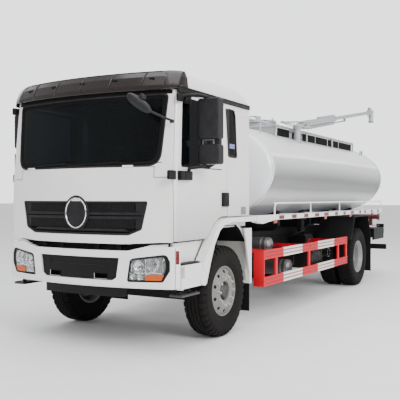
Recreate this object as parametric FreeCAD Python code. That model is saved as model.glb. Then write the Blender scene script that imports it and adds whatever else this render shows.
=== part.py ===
import FreeCAD, Part
import math
import os

# Two-axle tank truck: cab over engine, elliptical tank, loading boom on the tank's left shoulder.
# Working axes (mm): +X is the vehicle's left, +Y runs rearward from the front face, +Z is up, ground at Z = 0.
# Every solid is moved by -Y_MID at the end, so that the origin is the middle of the overall length on the ground.

V = FreeCAD.Vector

# ---- driving dimensions ----
Y_FRONT = -130.0            # front-view mirror, the foremost point
Y_REAR = 9030.0             # rear underrun bar, the rearmost point
Y_MID = 0.5 * (Y_FRONT + Y_REAR)

TYRE_R = 540.0
TYRE_W = 300.0
RIM_R = 286.0               # 22.5 inch rim seat
AXLE_F_Y = 1350.0
WHEELBASE = 5333.0
AXLE_R_Y = AXLE_F_Y + WHEELBASE
AXLE_Z = TYRE_R
FRONT_WHEEL_X = 1000.0      # middle of the front tyre
KINGPIN_X = 850.0
REAR_OUT_X = 1070.0
REAR_IN_X = 730.0

FRAME_X0, FRAME_X1 = 350.0, 430.0
FRAME_Z0, FRAME_Z1 = 770.0, 1040.0
FRAME_Y0, FRAME_Y1 = 330.0, 8800.0

CAB_HALF = 1150.0
CAB_ARC_R = 3804.0          # plan radius of the cab's front
CAB_REAR = 2040.0
CAB_WALL = 60.0
GUTTER_Z = 2795.0
FLOOR_Z0, FLOOR_Z1 = 1290.0, 1335.0
TILT_Y, TILT_Z = 130.0, 1040.0

TANK_A, TANK_B = 1170.0, 720.0
TANK_Z = 2040.0
TANK_Y0, TANK_Y1 = 2710.0, 8500.0
HEAD_DEPTH = 150.0

BOOM_X, BOOM_Y = 760.0, 4660.0      # axis of the pillar
PILLAR_Z = 2812.0           # top of the pillar
BOOM_REACH = 330.0          # from the pillar's axis to the lift pivot
BOOM_PIVOT_Z = 2910.0
BOOM_LIFT = 9.4             # degrees above level at rest
BOOM_SLEW = 4.0             # degrees toward the left at rest
BASE_LEN = 1250.0           # outer section, from the lift pivot
EXT_IN, TIP = 900.0, 3320.0 # inner section's hidden end and the spout's elbow
SPOUT_R, SPOUT_BORE, SPOUT_LEN = 48.0, 44.0, 215.0
OUTLET_R = 50.0             # bore of the two side outlets
RAIL_X = 660.0              # guard rail on the tank's top

MANHOLE_Y = 4700.0

# ---- helpers ----


def box(x0, x1, y0, y1, z0, z1):
    return Part.makeBox(x1 - x0, y1 - y0, z1 - z0, V(x0, y0, z0))


def cyl(r, h, p, d):
    return Part.makeCylinder(r, h, V(*p), V(*d))


def rod(p, q, r):
    a, b = V(*p), V(*q)
    return Part.makeCylinder(r, (b - a).Length, a, b - a)


def tube(p, q, r, ri):
    a, b = V(*p), V(*q)
    d = b - a
    n = V(d).normalize()
    return Part.makeCylinder(r, d.Length, a, d).cut(Part.makeCylinder(ri, d.Length + 20, a - n * 10, d))


def rbox(x0, x1, y0, y1, z0, z1, r):
    b = box(x0, x1, y0, y1, z0, z1)
    return b.makeFillet(r, b.Edges)


def fuse(*shapes):
    s = shapes[0]
    if len(shapes) > 1:
        s = s.multiFuse(list(shapes[1:]))
    return s.removeSplitter()


def comp(*shapes):
    return Part.makeCompound(list(shapes))


def mirror(s):
    return s.mirror(V(0, 0, 0), V(1, 0, 0))


def both(s):
    return comp(s, mirror(s))


def poly_yz(pts, x0, x1):
    w = Part.makePolygon([V(x0, y, z) for y, z in pts] + [V(x0, pts[0][0], pts[0][1])])
    return Part.Face(w).extrude(V(x1 - x0, 0, 0))


def poly_xz(pts, y0, y1):
    w = Part.makePolygon([V(x, y0, z) for x, z in pts] + [V(pts[0][0], y0, pts[0][1])])
    return Part.Face(w).extrude(V(0, y1 - y0, 0))


def poly_xy(pts, z0, z1):
    w = Part.makePolygon([V(x, y, z0) for x, y in pts] + [V(pts[0][0], pts[0][1], z0)])
    return Part.Face(w).extrude(V(0, 0, z1 - z0))


def revolve_x(pts, y, z):
    """Closed profile of (x, r) turned about the line parallel to X through (y, z)."""
    w = Part.makePolygon([V(x, y, z + r) for x, r in pts] + [V(pts[0][0], y, z + pts[0][1])])
    return Part.Face(w).revolve(V(0, y, z), V(1, 0, 0), 360)


def round_poly(pts, r, plane, a0, a1):
    """Extruded polygon with every corner rounded; plane is 'yz' or 'xz'."""
    n = len(pts)
    edges = []
    tang = []
    for i in range(n):
        p0, p1, p2 = pts[i - 1], pts[i], pts[(i + 1) % n]
        rr = r[i] if isinstance(r, (list, tuple)) else r
        u = (p0[0] - p1[0], p0[1] - p1[1])
        v = (p2[0] - p1[0], p2[1] - p1[1])
        lu, lv = math.hypot(*u), math.hypot(*v)
        u = (u[0] / lu, u[1] / lu)
        v = (v[0] / lv, v[1] / lv)
        c = max(-1.0, min(1.0, u[0] * v[0] + u[1] * v[1]))
        ang = math.acos(c)
        d = rr / math.tan(ang / 2)
        d = min(d, 0.48 * lu, 0.48 * lv)
        rr = d * math.tan(ang / 2)
        a = (p1[0] + u[0] * d, p1[1] + u[1] * d)
        b = (p1[0] + v[0] * d, p1[1] + v[1] * d)
        bis = (u[0] + v[0], u[1] + v[1])
        lb = math.hypot(*bis)
        h = rr / math.sin(ang / 2) - rr
        m = (p1[0] + bis[0] / lb * h, p1[1] + bis[1] / lb * h)
        tang.append((a, m, b))

    def P(q):
        return V(a0, q[0], q[1]) if plane == 'yz' else V(q[0], a0, q[1])
    for i in range(n):
        a, m, b = tang[i]
        edges.append(Part.Arc(P(a), P(m), P(b)).toShape())
        nxt = tang[(i + 1) % n][0]
        if math.hypot(nxt[0] - b[0], nxt[1] - b[1]) > 1e-3:
            edges.append(Part.LineSegment(P(b), P(nxt)).toShape())
    w = Part.Wire(edges)
    f = Part.Face(w)
    return f.extrude(V(a1 - a0, 0, 0) if plane == 'yz' else V(0, a1 - a0, 0))


def plan_wire(z, d, w, rear, rc, rr):
    """Plan outline of the cab at height z: bowed front, sides at w, rounded corners."""
    R = CAB_ARC_R
    cx, cy = w - rc, (d + R) - math.sqrt((R - rc) ** 2 - (w - rc) ** 2)
    bx, by = 0.0, d + R
    ux, uy = cx - bx, cy - by
    lu = math.hypot(ux, uy)
    ux, uy = ux / lu, uy / lu
    tx, ty = bx + ux * R, by + uy * R
    mx, my = 1 + ux, 0 + uy
    lm = math.hypot(mx, my)
    mx, my = cx + rc * mx / lm, cy + rc * my / lm
    k = rr * (1 - math.sqrt(0.5))
    e = [
        Part.Arc(V(-tx, ty, z), V(0, d, z), V(tx, ty, z)).toShape(),
        Part.Arc(V(tx, ty, z), V(mx, my, z), V(w, cy, z)).toShape(),
        Part.LineSegment(V(w, cy, z), V(w, rear - rr, z)).toShape(),
        Part.Arc(V(w, rear - rr, z), V(w - k, rear - k, z), V(w - rr, rear, z)).toShape(),
        Part.LineSegment(V(w - rr, rear, z), V(-w + rr, rear, z)).toShape(),
        Part.Arc(V(-w + rr, rear, z), V(-w + k, rear - k, z), V(-w, rear - rr, z)).toShape(),
        Part.LineSegment(V(-w, rear - rr, z), V(-w, cy, z)).toShape(),
        Part.Arc(V(-w, cy, z), V(-mx, my, z), V(-tx, ty, z)).toShape(),
    ]
    return Part.Wire(e)


def plan_loft(sections, ruled=True):
    return Part.makeLoft([plan_wire(*s) for s in sections], True, ruled)


NODES = []


def out(name, shape):
    s = shape.copy()
    s.translate(V(0, -Y_MID, 0))
    NODES.append((name, s))


os.makedirs("parts", exist_ok=True)

# =====================================================================
# chassis frame
# =====================================================================


def c_rail(x_out, x_in, y0, y1, z0, z1, t):
    s = box(min(x_out, x_in), max(x_out, x_in), y0, y1, z0, z1)
    if x_out > x_in:
        cut = box(x_in - 1, x_out - t, y0 - 1, y1 + 1, z0 + t, z1 - t)
    else:
        cut = box(x_out + t, x_in + 1, y0 - 1, y1 + 1, z0 + t, z1 - t)
    return s.cut(cut)


rail = c_rail(FRAME_X1, FRAME_X0, FRAME_Y0, FRAME_Y1, FRAME_Z0, FRAME_Z1, 10)

cross = []
for yc, zc, r in [(2250, 950, 60), (3450, 950, 60), (4650, 950, 60), (5750, 950, 60), (7650, 950, 60)]:
    cross.append(box(-421, 421, yc - 60, yc + 60, zc - r, zc + r).cut(box(-425, 425, yc - 52, yc + 61, zc - r + 8, zc + r - 8)))
cross.append(box(-421, 421, 8700, 8790, 790, 1020).cut(box(-425, 425, 8690, 8782, 798, 1012)))

# front member that carries the bumper, the cab pivots and the towing eye
fm = box(-520, 520, 250, 328, 800, 980)
lug = fuse(box(440, 470, 90, 328, 980, 1010), poly_yz([(95, 985), (165, 985), (165, 1040), (150, 1070), (110, 1070), (95, 1040)], 440, 470))
lug = fuse(lug, rod((440, TILT_Y, TILT_Z), (516, TILT_Y, TILT_Z), 20))
front_member = fuse(fm, lug, mirror(lug), box(340, 440, 240, 420, 1040 - 58, 1040 - 12).cut(box(349, 431, 329, 430, 700, 1100)),
                    mirror(box(340, 440, 240, 420, 1040 - 58, 1040 - 12).cut(box(349, 431, 329, 430, 700, 1100))))
tow = box(240, 280, 8780, 8895, 850, 950).cut(cyl(26, 60, (230, 8850, 900), (1, 0, 0)))     # rear towing eye
out("chassis_frame", fuse(rail, mirror(rail), front_member, tow, *cross))

# engine as one plain block under the cab floor, between the rails
out("engine_block", box(-270, 270, 800, 1900, 700, 1240))
out("propshaft", fuse(rod((0, 1955, 800), (0, 6420, 637), 48), cyl(95, 60, (0, 1901, 800), (0, 1, 0))))

# front axle
beam = fuse(box(-700, 700, AXLE_F_Y - 55, AXLE_F_Y + 55, 400, 490),
            poly_xz([(690, 400), (KINGPIN_X - 25, 450), (KINGPIN_X - 25, 540), (690, 490)], AXLE_F_Y - 48, AXLE_F_Y + 48),
            poly_xz([(-690, 400), (-KINGPIN_X + 25, 450), (-KINGPIN_X + 25, 540), (-690, 490)], AXLE_F_Y - 48, AXLE_F_Y + 48),
            cyl(52, 90, (KINGPIN_X, AXLE_F_Y, 450), (0, 0, 1)), cyl(52, 90, (-KINGPIN_X, AXLE_F_Y, 450), (0, 0, 1)))
beam = beam.cut(cyl(25, 200, (KINGPIN_X, AXLE_F_Y, 400), (0, 0, 1))).cut(cyl(25, 200, (-KINGPIN_X, AXLE_F_Y, 400), (0, 0, 1)))
out("front_axle_beam", beam)


def leaf(xc, yc, half, z, n, w, rise=60.0):
    parts = []
    for i in range(n):
        h = half * (1 - 0.11 * i)
        zz = z - 17 * i
        parts.append(Part.Face(Part.Wire([
            Part.Arc(V(xc - w, yc - h, zz + rise * (h / half) ** 2), V(xc - w, yc, zz), V(xc - w, yc + h, zz + rise * (h / half) ** 2)).toShape(),
            Part.LineSegment(V(xc - w, yc + h, zz + rise * (h / half) ** 2), V(xc - w, yc + h, zz - 15 + rise * (h / half) ** 2)).toShape(),
            Part.Arc(V(xc - w, yc + h, zz - 15 + rise * (h / half) ** 2), V(xc - w, yc, zz - 15), V(xc - w, yc - h, zz - 15 + rise * (h / half) ** 2)).toShape(),
            Part.LineSegment(V(xc - w, yc - h, zz - 15 + rise * (h / half) ** 2), V(xc - w, yc - h, zz + rise * (h / half) ** 2)).toShape(),
        ])).extrude(V(2 * w, 0, 0)))
    clamp = box(xc - w - 8, xc + w + 8, yc - 70, yc + 70, z - 17 * (n - 1) - 25, z + 12)
    s = clamp
    s = s.multiFuse(parts)
    return s


lf = leaf(390, AXLE_F_Y, 760, 600, 5, 38)
lf = fuse(lf, box(355, 425, AXLE_F_Y - 60, AXLE_F_Y + 60, 490, 560))
hang_f = fuse(box(372, 408, AXLE_F_Y - 790, AXLE_F_Y - 700, 640, 769), box(372, 408, AXLE_F_Y + 700, AXLE_F_Y + 790, 640, 769))
lr = leaf(390, AXLE_R_Y, 780, 722, 6, 38, 30.0)
lr = fuse(lr, box(355, 425, AXLE_R_Y - 60, AXLE_R_Y + 60, 610, 660))
hang_r = fuse(box(355, 425, AXLE_R_Y - 830, AXLE_R_Y - 770, 720, 769), box(355, 425, AXLE_R_Y + 770, AXLE_R_Y + 830, 720, 769))
lr = fuse(lr, hang_r)
out("leaf_springs", comp(fuse(lf, hang_f), mirror(fuse(lf, hang_f)), lr, mirror(lr)))

# rear axle housing with its differential
ra = fuse(rod((-575, AXLE_R_Y, AXLE_Z), (575, AXLE_R_Y, AXLE_Z), 70),
          Part.makeSphere(205, V(0, AXLE_R_Y, AXLE_Z)).common(box(-150, 150, AXLE_R_Y - 250, AXLE_R_Y + 250, 300, 800)),
          rod((0, AXLE_R_Y - 260, 635), (0, AXLE_R_Y, 560), 75),
          rod((-905, AXLE_R_Y, AXLE_Z), (905, AXLE_R_Y, AXLE_Z), 42))
out("rear_axle", ra)

# =====================================================================
# knuckles, tie rod, wheels
# =====================================================================
ARM_Y = 210.0
ARM_Z = 415.0


def knuckle(pin):
    s = fuse(cyl(50, 62, (KINGPIN_X, AXLE_F_Y, 552), (0, 0, 1)),
             cyl(50, 56, (KINGPIN_X, AXLE_F_Y, 382), (0, 0, 1)),
             cyl(22, 228, (KINGPIN_X, AXLE_F_Y, 384), (0, 0, 1)),
             box(KINGPIN_X, KINGPIN_X + 82, AXLE_F_Y - 45, AXLE_F_Y + 45, 556, 612),
             box(KINGPIN_X, KINGPIN_X + 82, AXLE_F_Y - 45, AXLE_F_Y + 45, 384, 436),
             box(KINGPIN_X + 62, KINGPIN_X + 82, AXLE_F_Y - 60, AXLE_F_Y + 60, 384, 612),
             rod((KINGPIN_X + 70, AXLE_F_Y, AXLE_Z), (KINGPIN_X + 205, AXLE_F_Y, AXLE_Z), 38))
    arm = poly_xy([(KINGPIN_X - 40, AXLE_F_Y), (KINGPIN_X + 16, AXLE_F_Y), (KINGPIN_X - 10, AXLE_F_Y + ARM_Y + 20), (KINGPIN_X - 55, AXLE_F_Y + ARM_Y + 20), (KINGPIN_X - 55, AXLE_F_Y + ARM_Y - 30)], 384, 402)
    s = fuse(s, arm)
    if pin:
        s = fuse(s, cyl(12, 50, (KINGPIN_X - 30, AXLE_F_Y + ARM_Y, 395), (0, 0, 1)))
    return s


out("knuckle_left", knuckle(True))
out("knuckle_right", mirror(knuckle(False)))     # the track rod's right end is left free of its arm
TIE_X = KINGPIN_X - 30
tie = fuse(rod((-TIE_X, AXLE_F_Y + ARM_Y, 425), (TIE_X, AXLE_F_Y + ARM_Y, 425), 16),
           cyl(28, 32, (TIE_X, AXLE_F_Y + ARM_Y, 409), (0, 0, 1)), cyl(28, 32, (-TIE_X, AXLE_F_Y + ARM_Y, 409), (0, 0, 1)))
tie = tie.cut(cyl(14, 100, (TIE_X, AXLE_F_Y + ARM_Y, 380), (0, 0, 1))).cut(cyl(14, 100, (-TIE_X, AXLE_F_Y + ARM_Y, 380), (0, 0, 1)))
out("tie_rod", tie)

h = TYRE_W / 2


def tyre(xc, yc):
    pts = [(-112, RIM_R + 4), (-126, RIM_R + 20), (-140, 350), (-150, 415), (-147, 465), (-138, 505), (-122, 527), (-100, 536), (0, TYRE_R),
           (100, 536), (122, 527), (138, 505), (147, 465), (150, 415), (140, 350), (126, RIM_R + 20), (112, RIM_R + 4)]
    return revolve_x([(xc + a, b) for a, b in pts], yc, AXLE_Z)


def hand_holes(s, x0, x1, yc, n, rc, rh):
    for i in range(n):
        a = 2 * math.pi * (i + 0.5) / n
        s = s.cut(cyl(rh, x1 - x0, (x0, yc + rc * math.cos(a), AXLE_Z + rc * math.sin(a)), (1, 0, 0)))
    return s


def front_rim():
    x = FRONT_WHEEL_X
    # barrel, disc near the outer edge, hub that stands proud, brake drum inside
    barrel = revolve_x([(x - 122, 282), (x - 122, 296), (x - 108, 299), (x - 108, 285), (x - 40, 262), (x + 40, 262), (x + 108, 285), (x + 108, 299),
                        (x + 122, 296), (x + 122, 282), (x + 60, 250), (x - 60, 250), (x - 100, 268)], AXLE_F_Y, AXLE_Z)
    disc = revolve_x([(x + 10, 254), (x + 46, 254), (x + 86, 210), (x + 92, 194), (x + 92, 90), (x + 78, 90), (x + 78, 190), (x + 72, 202)], AXLE_F_Y, AXLE_Z)
    disc = hand_holes(disc, x, x + 100, AXLE_F_Y, 10, 230, 19)
    hub = revolve_x([(x - 50, 45), (x - 50, 120), (x + 60, 120), (x + 79, 125), (x + 79, 80), (x + 130, 78), (x + 138, 66), (x + 138, 0), (x + 70, 0), (x + 70, 45)], AXLE_F_Y, AXLE_Z)
    drum = revolve_x([(x - 55, 205), (x + 40, 205), (x + 50, 190), (x + 50, 100), (x + 36, 100), (x + 36, 190), (x - 55, 190)], AXLE_F_Y, AXLE_Z)
    nuts = []
    for i in range(10):
        a = 2 * math.pi * i / 10
        nuts.append(cyl(15, 50, (x + 88, AXLE_F_Y + 167.5 * math.cos(a), AXLE_Z + 167.5 * math.sin(a)), (1, 0, 0)))
    return fuse(barrel, disc, hub, drum, *nuts)


fr = front_rim()
ty = tyre(FRONT_WHEEL_X, AXLE_F_Y)
out("tyre_front_left", ty)
out("tyre_front_right", mirror(ty))
out("rim_front_left", fr)
out("rim_front_right", mirror(fr))


def rear_rim():
    xo, xi, xm = REAR_OUT_X, REAR_IN_X, 0.5 * (REAR_OUT_X + REAR_IN_X)
    def barrel(x):
        return revolve_x([(x - 122, 282), (x - 122, 296), (x - 108, 299), (x - 108, 285), (x - 40, 262), (x + 40, 262), (x + 108, 285), (x + 108, 299),
                          (x + 122, 296), (x + 122, 282), (x + 60, 250), (x - 60, 250), (x - 100, 268)], AXLE_R_Y, AXLE_Z)
    do = revolve_x([(xo - 10, 254), (xo - 46, 254), (xm + 10, 205), (xm + 0.5, 170), (xm + 0.5, 90), (xm + 14, 90), (xm + 14, 168), (xo - 120, 196)], AXLE_R_Y, AXLE_Z)
    di = revolve_x([(xi + 10, 254), (xi + 46, 254), (xm - 10, 205), (xm, 170), (xm, 90), (xm - 14, 90), (xm - 14, 168), (xi + 120, 196)], AXLE_R_Y, AXLE_Z)
    do = hand_holes(do, xm, xo, AXLE_R_Y, 10, 212, 19)
    di = hand_holes(di, xi, xm, AXLE_R_Y, 10, 212, 19)
    hub = revolve_x([(xi - 60, 80), (xi - 60, 185), (xm - 14, 185), (xm - 14, 120), (xm + 60, 110), (xm + 90, 100), (xm + 110, 80), (xm + 110, 0), (xm + 40, 0), (xm + 40, 50), (xi + 20, 50), (xi + 20, 80)], AXLE_R_Y, AXLE_Z)
    nuts = []
    for i in range(10):
        a = 2 * math.pi * i / 10
        nuts.append(cyl(15, 45, (xm + 12, AXLE_R_Y + 142 * math.cos(a), AXLE_Z + 142 * math.sin(a)), (1, 0, 0)))
    return fuse(barrel(xo), barrel(xi), do, di, hub, *nuts)


rr_ = rear_rim()
tyr = comp(tyre(REAR_OUT_X, AXLE_R_Y), tyre(REAR_IN_X, AXLE_R_Y))
out("tyre_rear_left", tyr)
out("tyre_rear_right", mirror(tyr))
out("rim_rear_left", rr_)
out("rim_rear_right", mirror(rr_))

# =====================================================================
# bumper, lamps, steps, front mudguards
# =====================================================================
BUMP_W = 1180.0
bo = plan_loft([(695, 6, BUMP_W - 14, 700, 110, 20), (715, 0, BUMP_W, 700, 120, 20), (1120, 0, BUMP_W, 700, 120, 20), (1135, 8, BUMP_W - 12, 700, 110, 20)])
bi = plan_loft([(680, 55, BUMP_W - 60, 800, 80, 20), (1150, 55, BUMP_W - 60, 800, 80, 20)])
bumper = bo.cut(bi).common(box(-1300, 1300, -50, 262, 600, 1200))
# the middle of the top edge is lower than its two raised corners
bumper = bumper.cut(poly_xz([(-860, 1200), (-860, 1137), (-640, 1086), (640, 1086), (860, 1137), (860, 1200)], -50, 300))
GRILLE_LOW = [(-552, 1010), (552, 1010), (520, 800), (470, 768), (-470, 768), (-520, 800)]
bumper = bumper.cut(poly_xz(GRILLE_LOW, -50, 120))
LAMP = [(642, 760), (676, 985), (704, 1010), (1052, 1056), (1084, 1042), (1112, 985), (1112, 885), (1038, 766)]
bumper = bumper.cut(round_poly(LAMP, 22, 'xz', -50, 400)).cut(mirror(round_poly(LAMP, 22, 'xz', -50, 400)))
bb_l = fuse(box(450, 500, 60, 249, 850, 960), box(640, 1010, 180, 249, 720, 756), box(500, 660, 190, 249, 850, 930), box(615, 640, 190, 249, 720, 930))
bb_l = bb_l.cut(plan_loft([(600, -200, BUMP_W, 700, 120, 20), (1200, -200, BUMP_W, 700, 120, 20)]).cut(plan_loft([(600, 54, BUMP_W - 60, 800, 80, 20), (1200, 54, BUMP_W - 60, 800, 80, 20)])))
bumper = fuse(bumper, bb_l, mirror(bb_l))
# leaning corner fairings between the bumper's top edge and the hinged front panel
fo_b = plan_loft([(1070, 14, BUMP_W - 12, 700, 110, 20), (1170, 52, BUMP_W - 40, 700, 100, 20)])
fi_b = plan_loft([(1060, 42, BUMP_W - 50, 800, 80, 20), (1180, 84, BUMP_W - 80, 800, 80, 20)])
fair = fo_b.cut(fi_b).common(poly_xz([(652, 1080), (884, 1150), (1056, 1160), (1056, 1080)], 0, 250))
bumper = fuse(bumper, fair, mirror(fair))
out("front_bumper", bumper)

# lower grille plate with two square towing openings
lg = plan_loft([(760, 18, BUMP_W, 700, 120, 20), (1020, 18, BUMP_W, 700, 120, 20)]).cut(plan_loft([(750, 48, BUMP_W - 30, 800, 90, 20), (1030, 48, BUMP_W - 30, 800, 90, 20)]))
lg = lg.common(poly_xz([(-546, 1005), (546, 1005), (515, 803), (467, 773), (-467, 773), (-515, 803)], -50, 120))
for x0, x1 in ((-404, -236), (236, 404)):
    lg = lg.cut(round_poly([(x0, 776), (x1, 776), (x1, 840), (x0, 840)], 8, 'xz', -50, 200))
out("lower_grille", lg)

LAMP_IN = [(650, 767), (683, 980), (708, 1003), (1050, 1049), (1080, 1036), (1105, 983), (1105, 887), (1035, 773)]
lo = plan_loft([(700, 12, BUMP_W - 10, 700, 110, 20), (1100, 12, BUMP_W - 10, 700, 110, 20)])
li = plan_loft([(690, 120, BUMP_W - 100, 800, 60, 20), (1110, 120, BUMP_W - 100, 800, 60, 20)])
lamp = lo.cut(li).common(round_poly(LAMP_IN, 18, 'xz', -50, 300)).common(box(600, 1300, -50, 300, 600, 1200))
out("headlamps", both(lamp))

# dark bar under the bumper with a towing loop
bar = plan_loft([(585, 70, 560, 400, 60, 20), (680, 70, 560, 400, 60, 20)]).common(box(-700, 700, 0, 170, 500, 700))

# front wheel arch: moulding with a broad front leg, liner, rear valance and flap
ARCH_OUT = [(655, 700), (640, 745), (720, 960), (905, 1170), (1060, 1330), (1190, 1398), (1290, 1410), (2075, 1410), (2075, 1352),
            (1360, 1352), (1200, 1330), (1085, 1270), (960, 1120), (865, 930), (770, 700), (735, 680)]
arch = round_poly(ARCH_OUT, [20, 30, 60, 60, 80, 60, 40, 14, 14, 80, 60, 60, 80, 80, 30, 20], 'yz', 1100, 1212)
LIN = [(735, 720), (900, 1000), (1100, 1240), (1240, 1320), (1700, 1320), (1830, 1245), (1960, 1100), (1985, 600), (2000, 600), (1976, 1106), (1840, 1262), (1706, 1336), (1236, 1336), (1090, 1252), (888, 1010), (722, 726)]
liner = round_poly(LIN, 6, 'yz', 700, 1110)
val = fuse(box(700, 1160, 1986, 2040, 560, 1260), poly_yz([(1840, 1262), (2040, 1262), (2040, 560), (2016, 560)], 1140, 1160))
guard = fuse(arch, liner, val, box(431, 702, 1995, 2030, 960, 1000)).cut(box(-10, 1084, -200, 2100, 1280, 1500))
out("front_mudguards", both(guard))

# side step: white body, dark tread, open lower rung; the well's inner panel behind it
sb = fuse(box(1010, 1195, 270, 700, 690, 938), poly_yz([(270, 930), (700, 930), (715, 960), (895, 1165), (270, 1165)], 1050, 1080), box(700, 1020, 300, 360, 820, 870), box(700, 1020, 560, 620, 820, 870), box(431, 702, 300, 620, 800, 830))
sb = sb.cut(poly_yz([(262, 800), (330, 800), (330, 925), (262, 925)], 1090, 1300)).cut(arch)
out("step_boxes", both(sb))
tr = box(1084, 1190, 290, 660, 939, 952)
lowr = fuse(box(1040, 1195, 270, 640, 600, 622), box(1060, 1090, 300, 330, 621, 689), box(1060, 1090, 580, 610, 621, 689))
out("step_treads", both(comp(tr, lowr)))

# =====================================================================
# cab shell
# =====================================================================
SECT = [(1150, 0, 1150, 2040), (1600, 3, 1150, 2040), (1860, 14, 1150, 2040), (2010, 30, 1150, 2040), (2400, 68, 1150, 2040), (GUTTER_Z, 112, 1148, 2036)]
ROOF = [(GUTTER_Z, 112, 1148, 2036), (2860, 150, 1124, 2028), (2925, 215, 1090, 2004), (2985, 320, 1045, 1960), (3030, 480, 985, 1890), (3055, 680, 900, 1790)]


def cab_solid(inset, z0, z1):
    """The cab's outer form moved inward by inset, between two heights."""
    secs = []
    for z, d, w, r in SECT:
        secs.append((z, d + inset, w - inset, r - inset, 75 - min(inset, 55), 70 - min(inset, 55)))
    body = plan_loft(secs)
    rs = []
    for z, d, w, r in ROOF:
        rs.append((z - 0.45 * inset if z > GUTTER_Z else z, d + inset, w - inset, r - inset, 75 - min(inset, 55), 70 - min(inset, 55)))
    roof = plan_loft(rs)
    s = body.fuse(roof)
    return s.common(box(-1300, 1300, -200, 2300, z0, z1))


outer = cab_solid(0, 1100, 3100)
inner = cab_solid(CAB_WALL, FLOOR_Z1, 3100)
wall = outer.cut(inner)

# windscreen opening (seen from the front, X and Z)
WS = [(-1040, 2735), (1040, 2735), (1012, 2300), (990, 1985), (-990, 1985), (-1012, 2300)]
WS_R = [60, 60, 400, 150, 150, 400]
ws_cut = round_poly(WS, WS_R, 'xz', -200, 420)
# doors (side view, Y and Z)
DOOR = [(200, 1190), (200, 1860), (274, 2700), (306, 2742), (1300, 2742), (1322, 2700), (1386, 2100), (1386, 1432), (1250, 1428), (1150, 1408), (1022, 1338), (872, 1190)]
DOOR_R = [10, 100, 30, 20, 25, 60, 200, 12, 60, 60, 60, 20]
DOOR_GAP = [(192, 1100), (192, 1860), (266, 2708), (298, 2750), (1306, 2750), (1330, 2702), (1394, 2104), (1394, 1100)]
DOOR_GAP_R = [5, 100, 34, 24, 28, 60, 200, 5]
door_cut = round_poly(DOOR_GAP, DOOR_GAP_R, 'yz', 1060, 1300)
# rear quarter windows
QW = [(1420, 2708), (1570, 2700), (1598, 2640), (1640, 2160), (1625, 2135), (1440, 2135), (1428, 2160)]
qw_cut = round_poly(QW, [30, 50, 40, 20, 20, 20, 20], 'yz', 1000, 1300)

shell = wall.common(box(-1300, 1300, -200, 2300, FLOOR_Z0, 3100))
shell = shell.cut(ws_cut)
shell = shell.cut(door_cut).cut(mirror(door_cut))
shell = shell.cut(qw_cut).cut(mirror(qw_cut))
# everything ahead of the bulkhead and below the windscreen belongs to the hinged front panel
FLAP_TOP = 1976.0
shell = shell.cut(box(-1300, 1300, -200, 198, 1000, 1864))
shell = shell.cut(box(-940, 940, -200, 200, 1000, FLAP_TOP))
# lower rear corner follows the wheel arch
shell = shell.cut(box(1060, 1300, 1300, 2300, 1000, 1424)).cut(box(-1300, -1060, 1300, 2300, 1000, 1424))
sill = box(1000, 1056, 420, 2036, FLOOR_Z0, 1420)
bulk = plan_loft([(1205, 122, 1062, 1900, 30, 10), (1976, 122, 1062, 1900, 30, 10)]).cut(plan_loft([(1200, 150, 1040, 1950, 20, 10), (1980, 150, 1040, 1950, 20, 10)]))
bulk = bulk.common(box(-1300, 1300, 0, 330, 1205, 1990))
cowl = plan_loft([(1977, 30, 1140, 1900, 60, 10), (1985, 31, 1140, 1900, 60, 10)]).common(box(-990, 990, -50, 250, 1950, 2000))
cowl = fuse(cowl, plan_loft([(1940, 122, 1062, 1900, 30, 10), (1978, 122, 1062, 1900, 30, 10)]).common(box(-1030, 1030, 0, 240, 1940, 1980)))
jamb = box(1020, 1075, 206, 290, 1290, 1990)
floor_f = plan_loft([(FLOOR_Z0, 150, 1075, 2030, 20, 10), (FLOOR_Z1, 150, 1075, 2030, 20, 10)])
arm_c = poly_yz([(105, 1015), (155, 1015), (320, 1080), (360, 1300), (300, 1300), (268, 1110), (105, 1065)], 482, 512)
arm_c = arm_c.cut(cyl(21.5, 60, (470, TILT_Y, TILT_Z), (1, 0, 0)))
shell = fuse(shell, floor_f, bulk, cowl, sill, mirror(sill), jamb, mirror(jamb), arm_c, mirror(arm_c))
out("cab_shell", shell)

# glazing set in the openings
glass_o = cab_solid(10, 1900, 2790)
glass_i = cab_solid(17, 1900, 2790)
gl = glass_o.cut(glass_i)
ws_in = round_poly([(-1039, 2734), (1039, 2734), (1011, 2300), (989, 1986), (-989, 1986), (-1011, 2300)], WS_R, 'xz', -200, 420)
windscreen = gl.common(ws_in).common(box(-1300, 1300, -200, 420, 1950, 2760))
quarter = gl.common(round_poly(QW, [30, 50, 40, 20, 20, 20, 20], 'yz', 1100, 1200))
out("cab_glazing", comp(windscreen, quarter, mirror(quarter)))

# front panel: grille panel hinged below the windscreen
FLAP_Y, FLAP_Z = -5.0, 1975.0
fo = cab_solid(0, 1150, 1970)
fi = cab_solid(45, 1100, 1990)
flap = fo.cut(fi).common(box(-1300, 1300, -200, 190, 1150, 1970))
flap = flap.cut(box(926, 1300, -200, 300, 1856, 2000)).cut(box(-1300, -926, -200, 300, 1856, 2000))
flap = flap.cut(poly_xz([(-1300, 1100), (1300, 1100), (1300, 1184), (1000, 1180), (600, 1158), (-600, 1158), (-1000, 1180), (-1300, 1184)], -100, 300))
GRILLE = [(-880, 1612), (880, 1612), (812, 1310), (660, 1248), (-660, 1248), (-812, 1310)]
flap = flap.cut(round_poly(GRILLE, [20, 20, 30, 30, 30, 30], 'xz', -100, 200))
out("front_flap", flap.removeSplitter())
go = cab_solid(8, 1200, 1660)
gi = cab_solid(34, 1200, 1660)
GR_IN = [(-877, 1609), (877, 1609), (809.5, 1312), (659, 1251), (-659, 1251), (-809.5, 1312)]
out("grille", go.cut(gi).common(round_poly(GR_IN, [20, 20, 30, 30, 30, 30], 'xz', -100, 200)))

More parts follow.
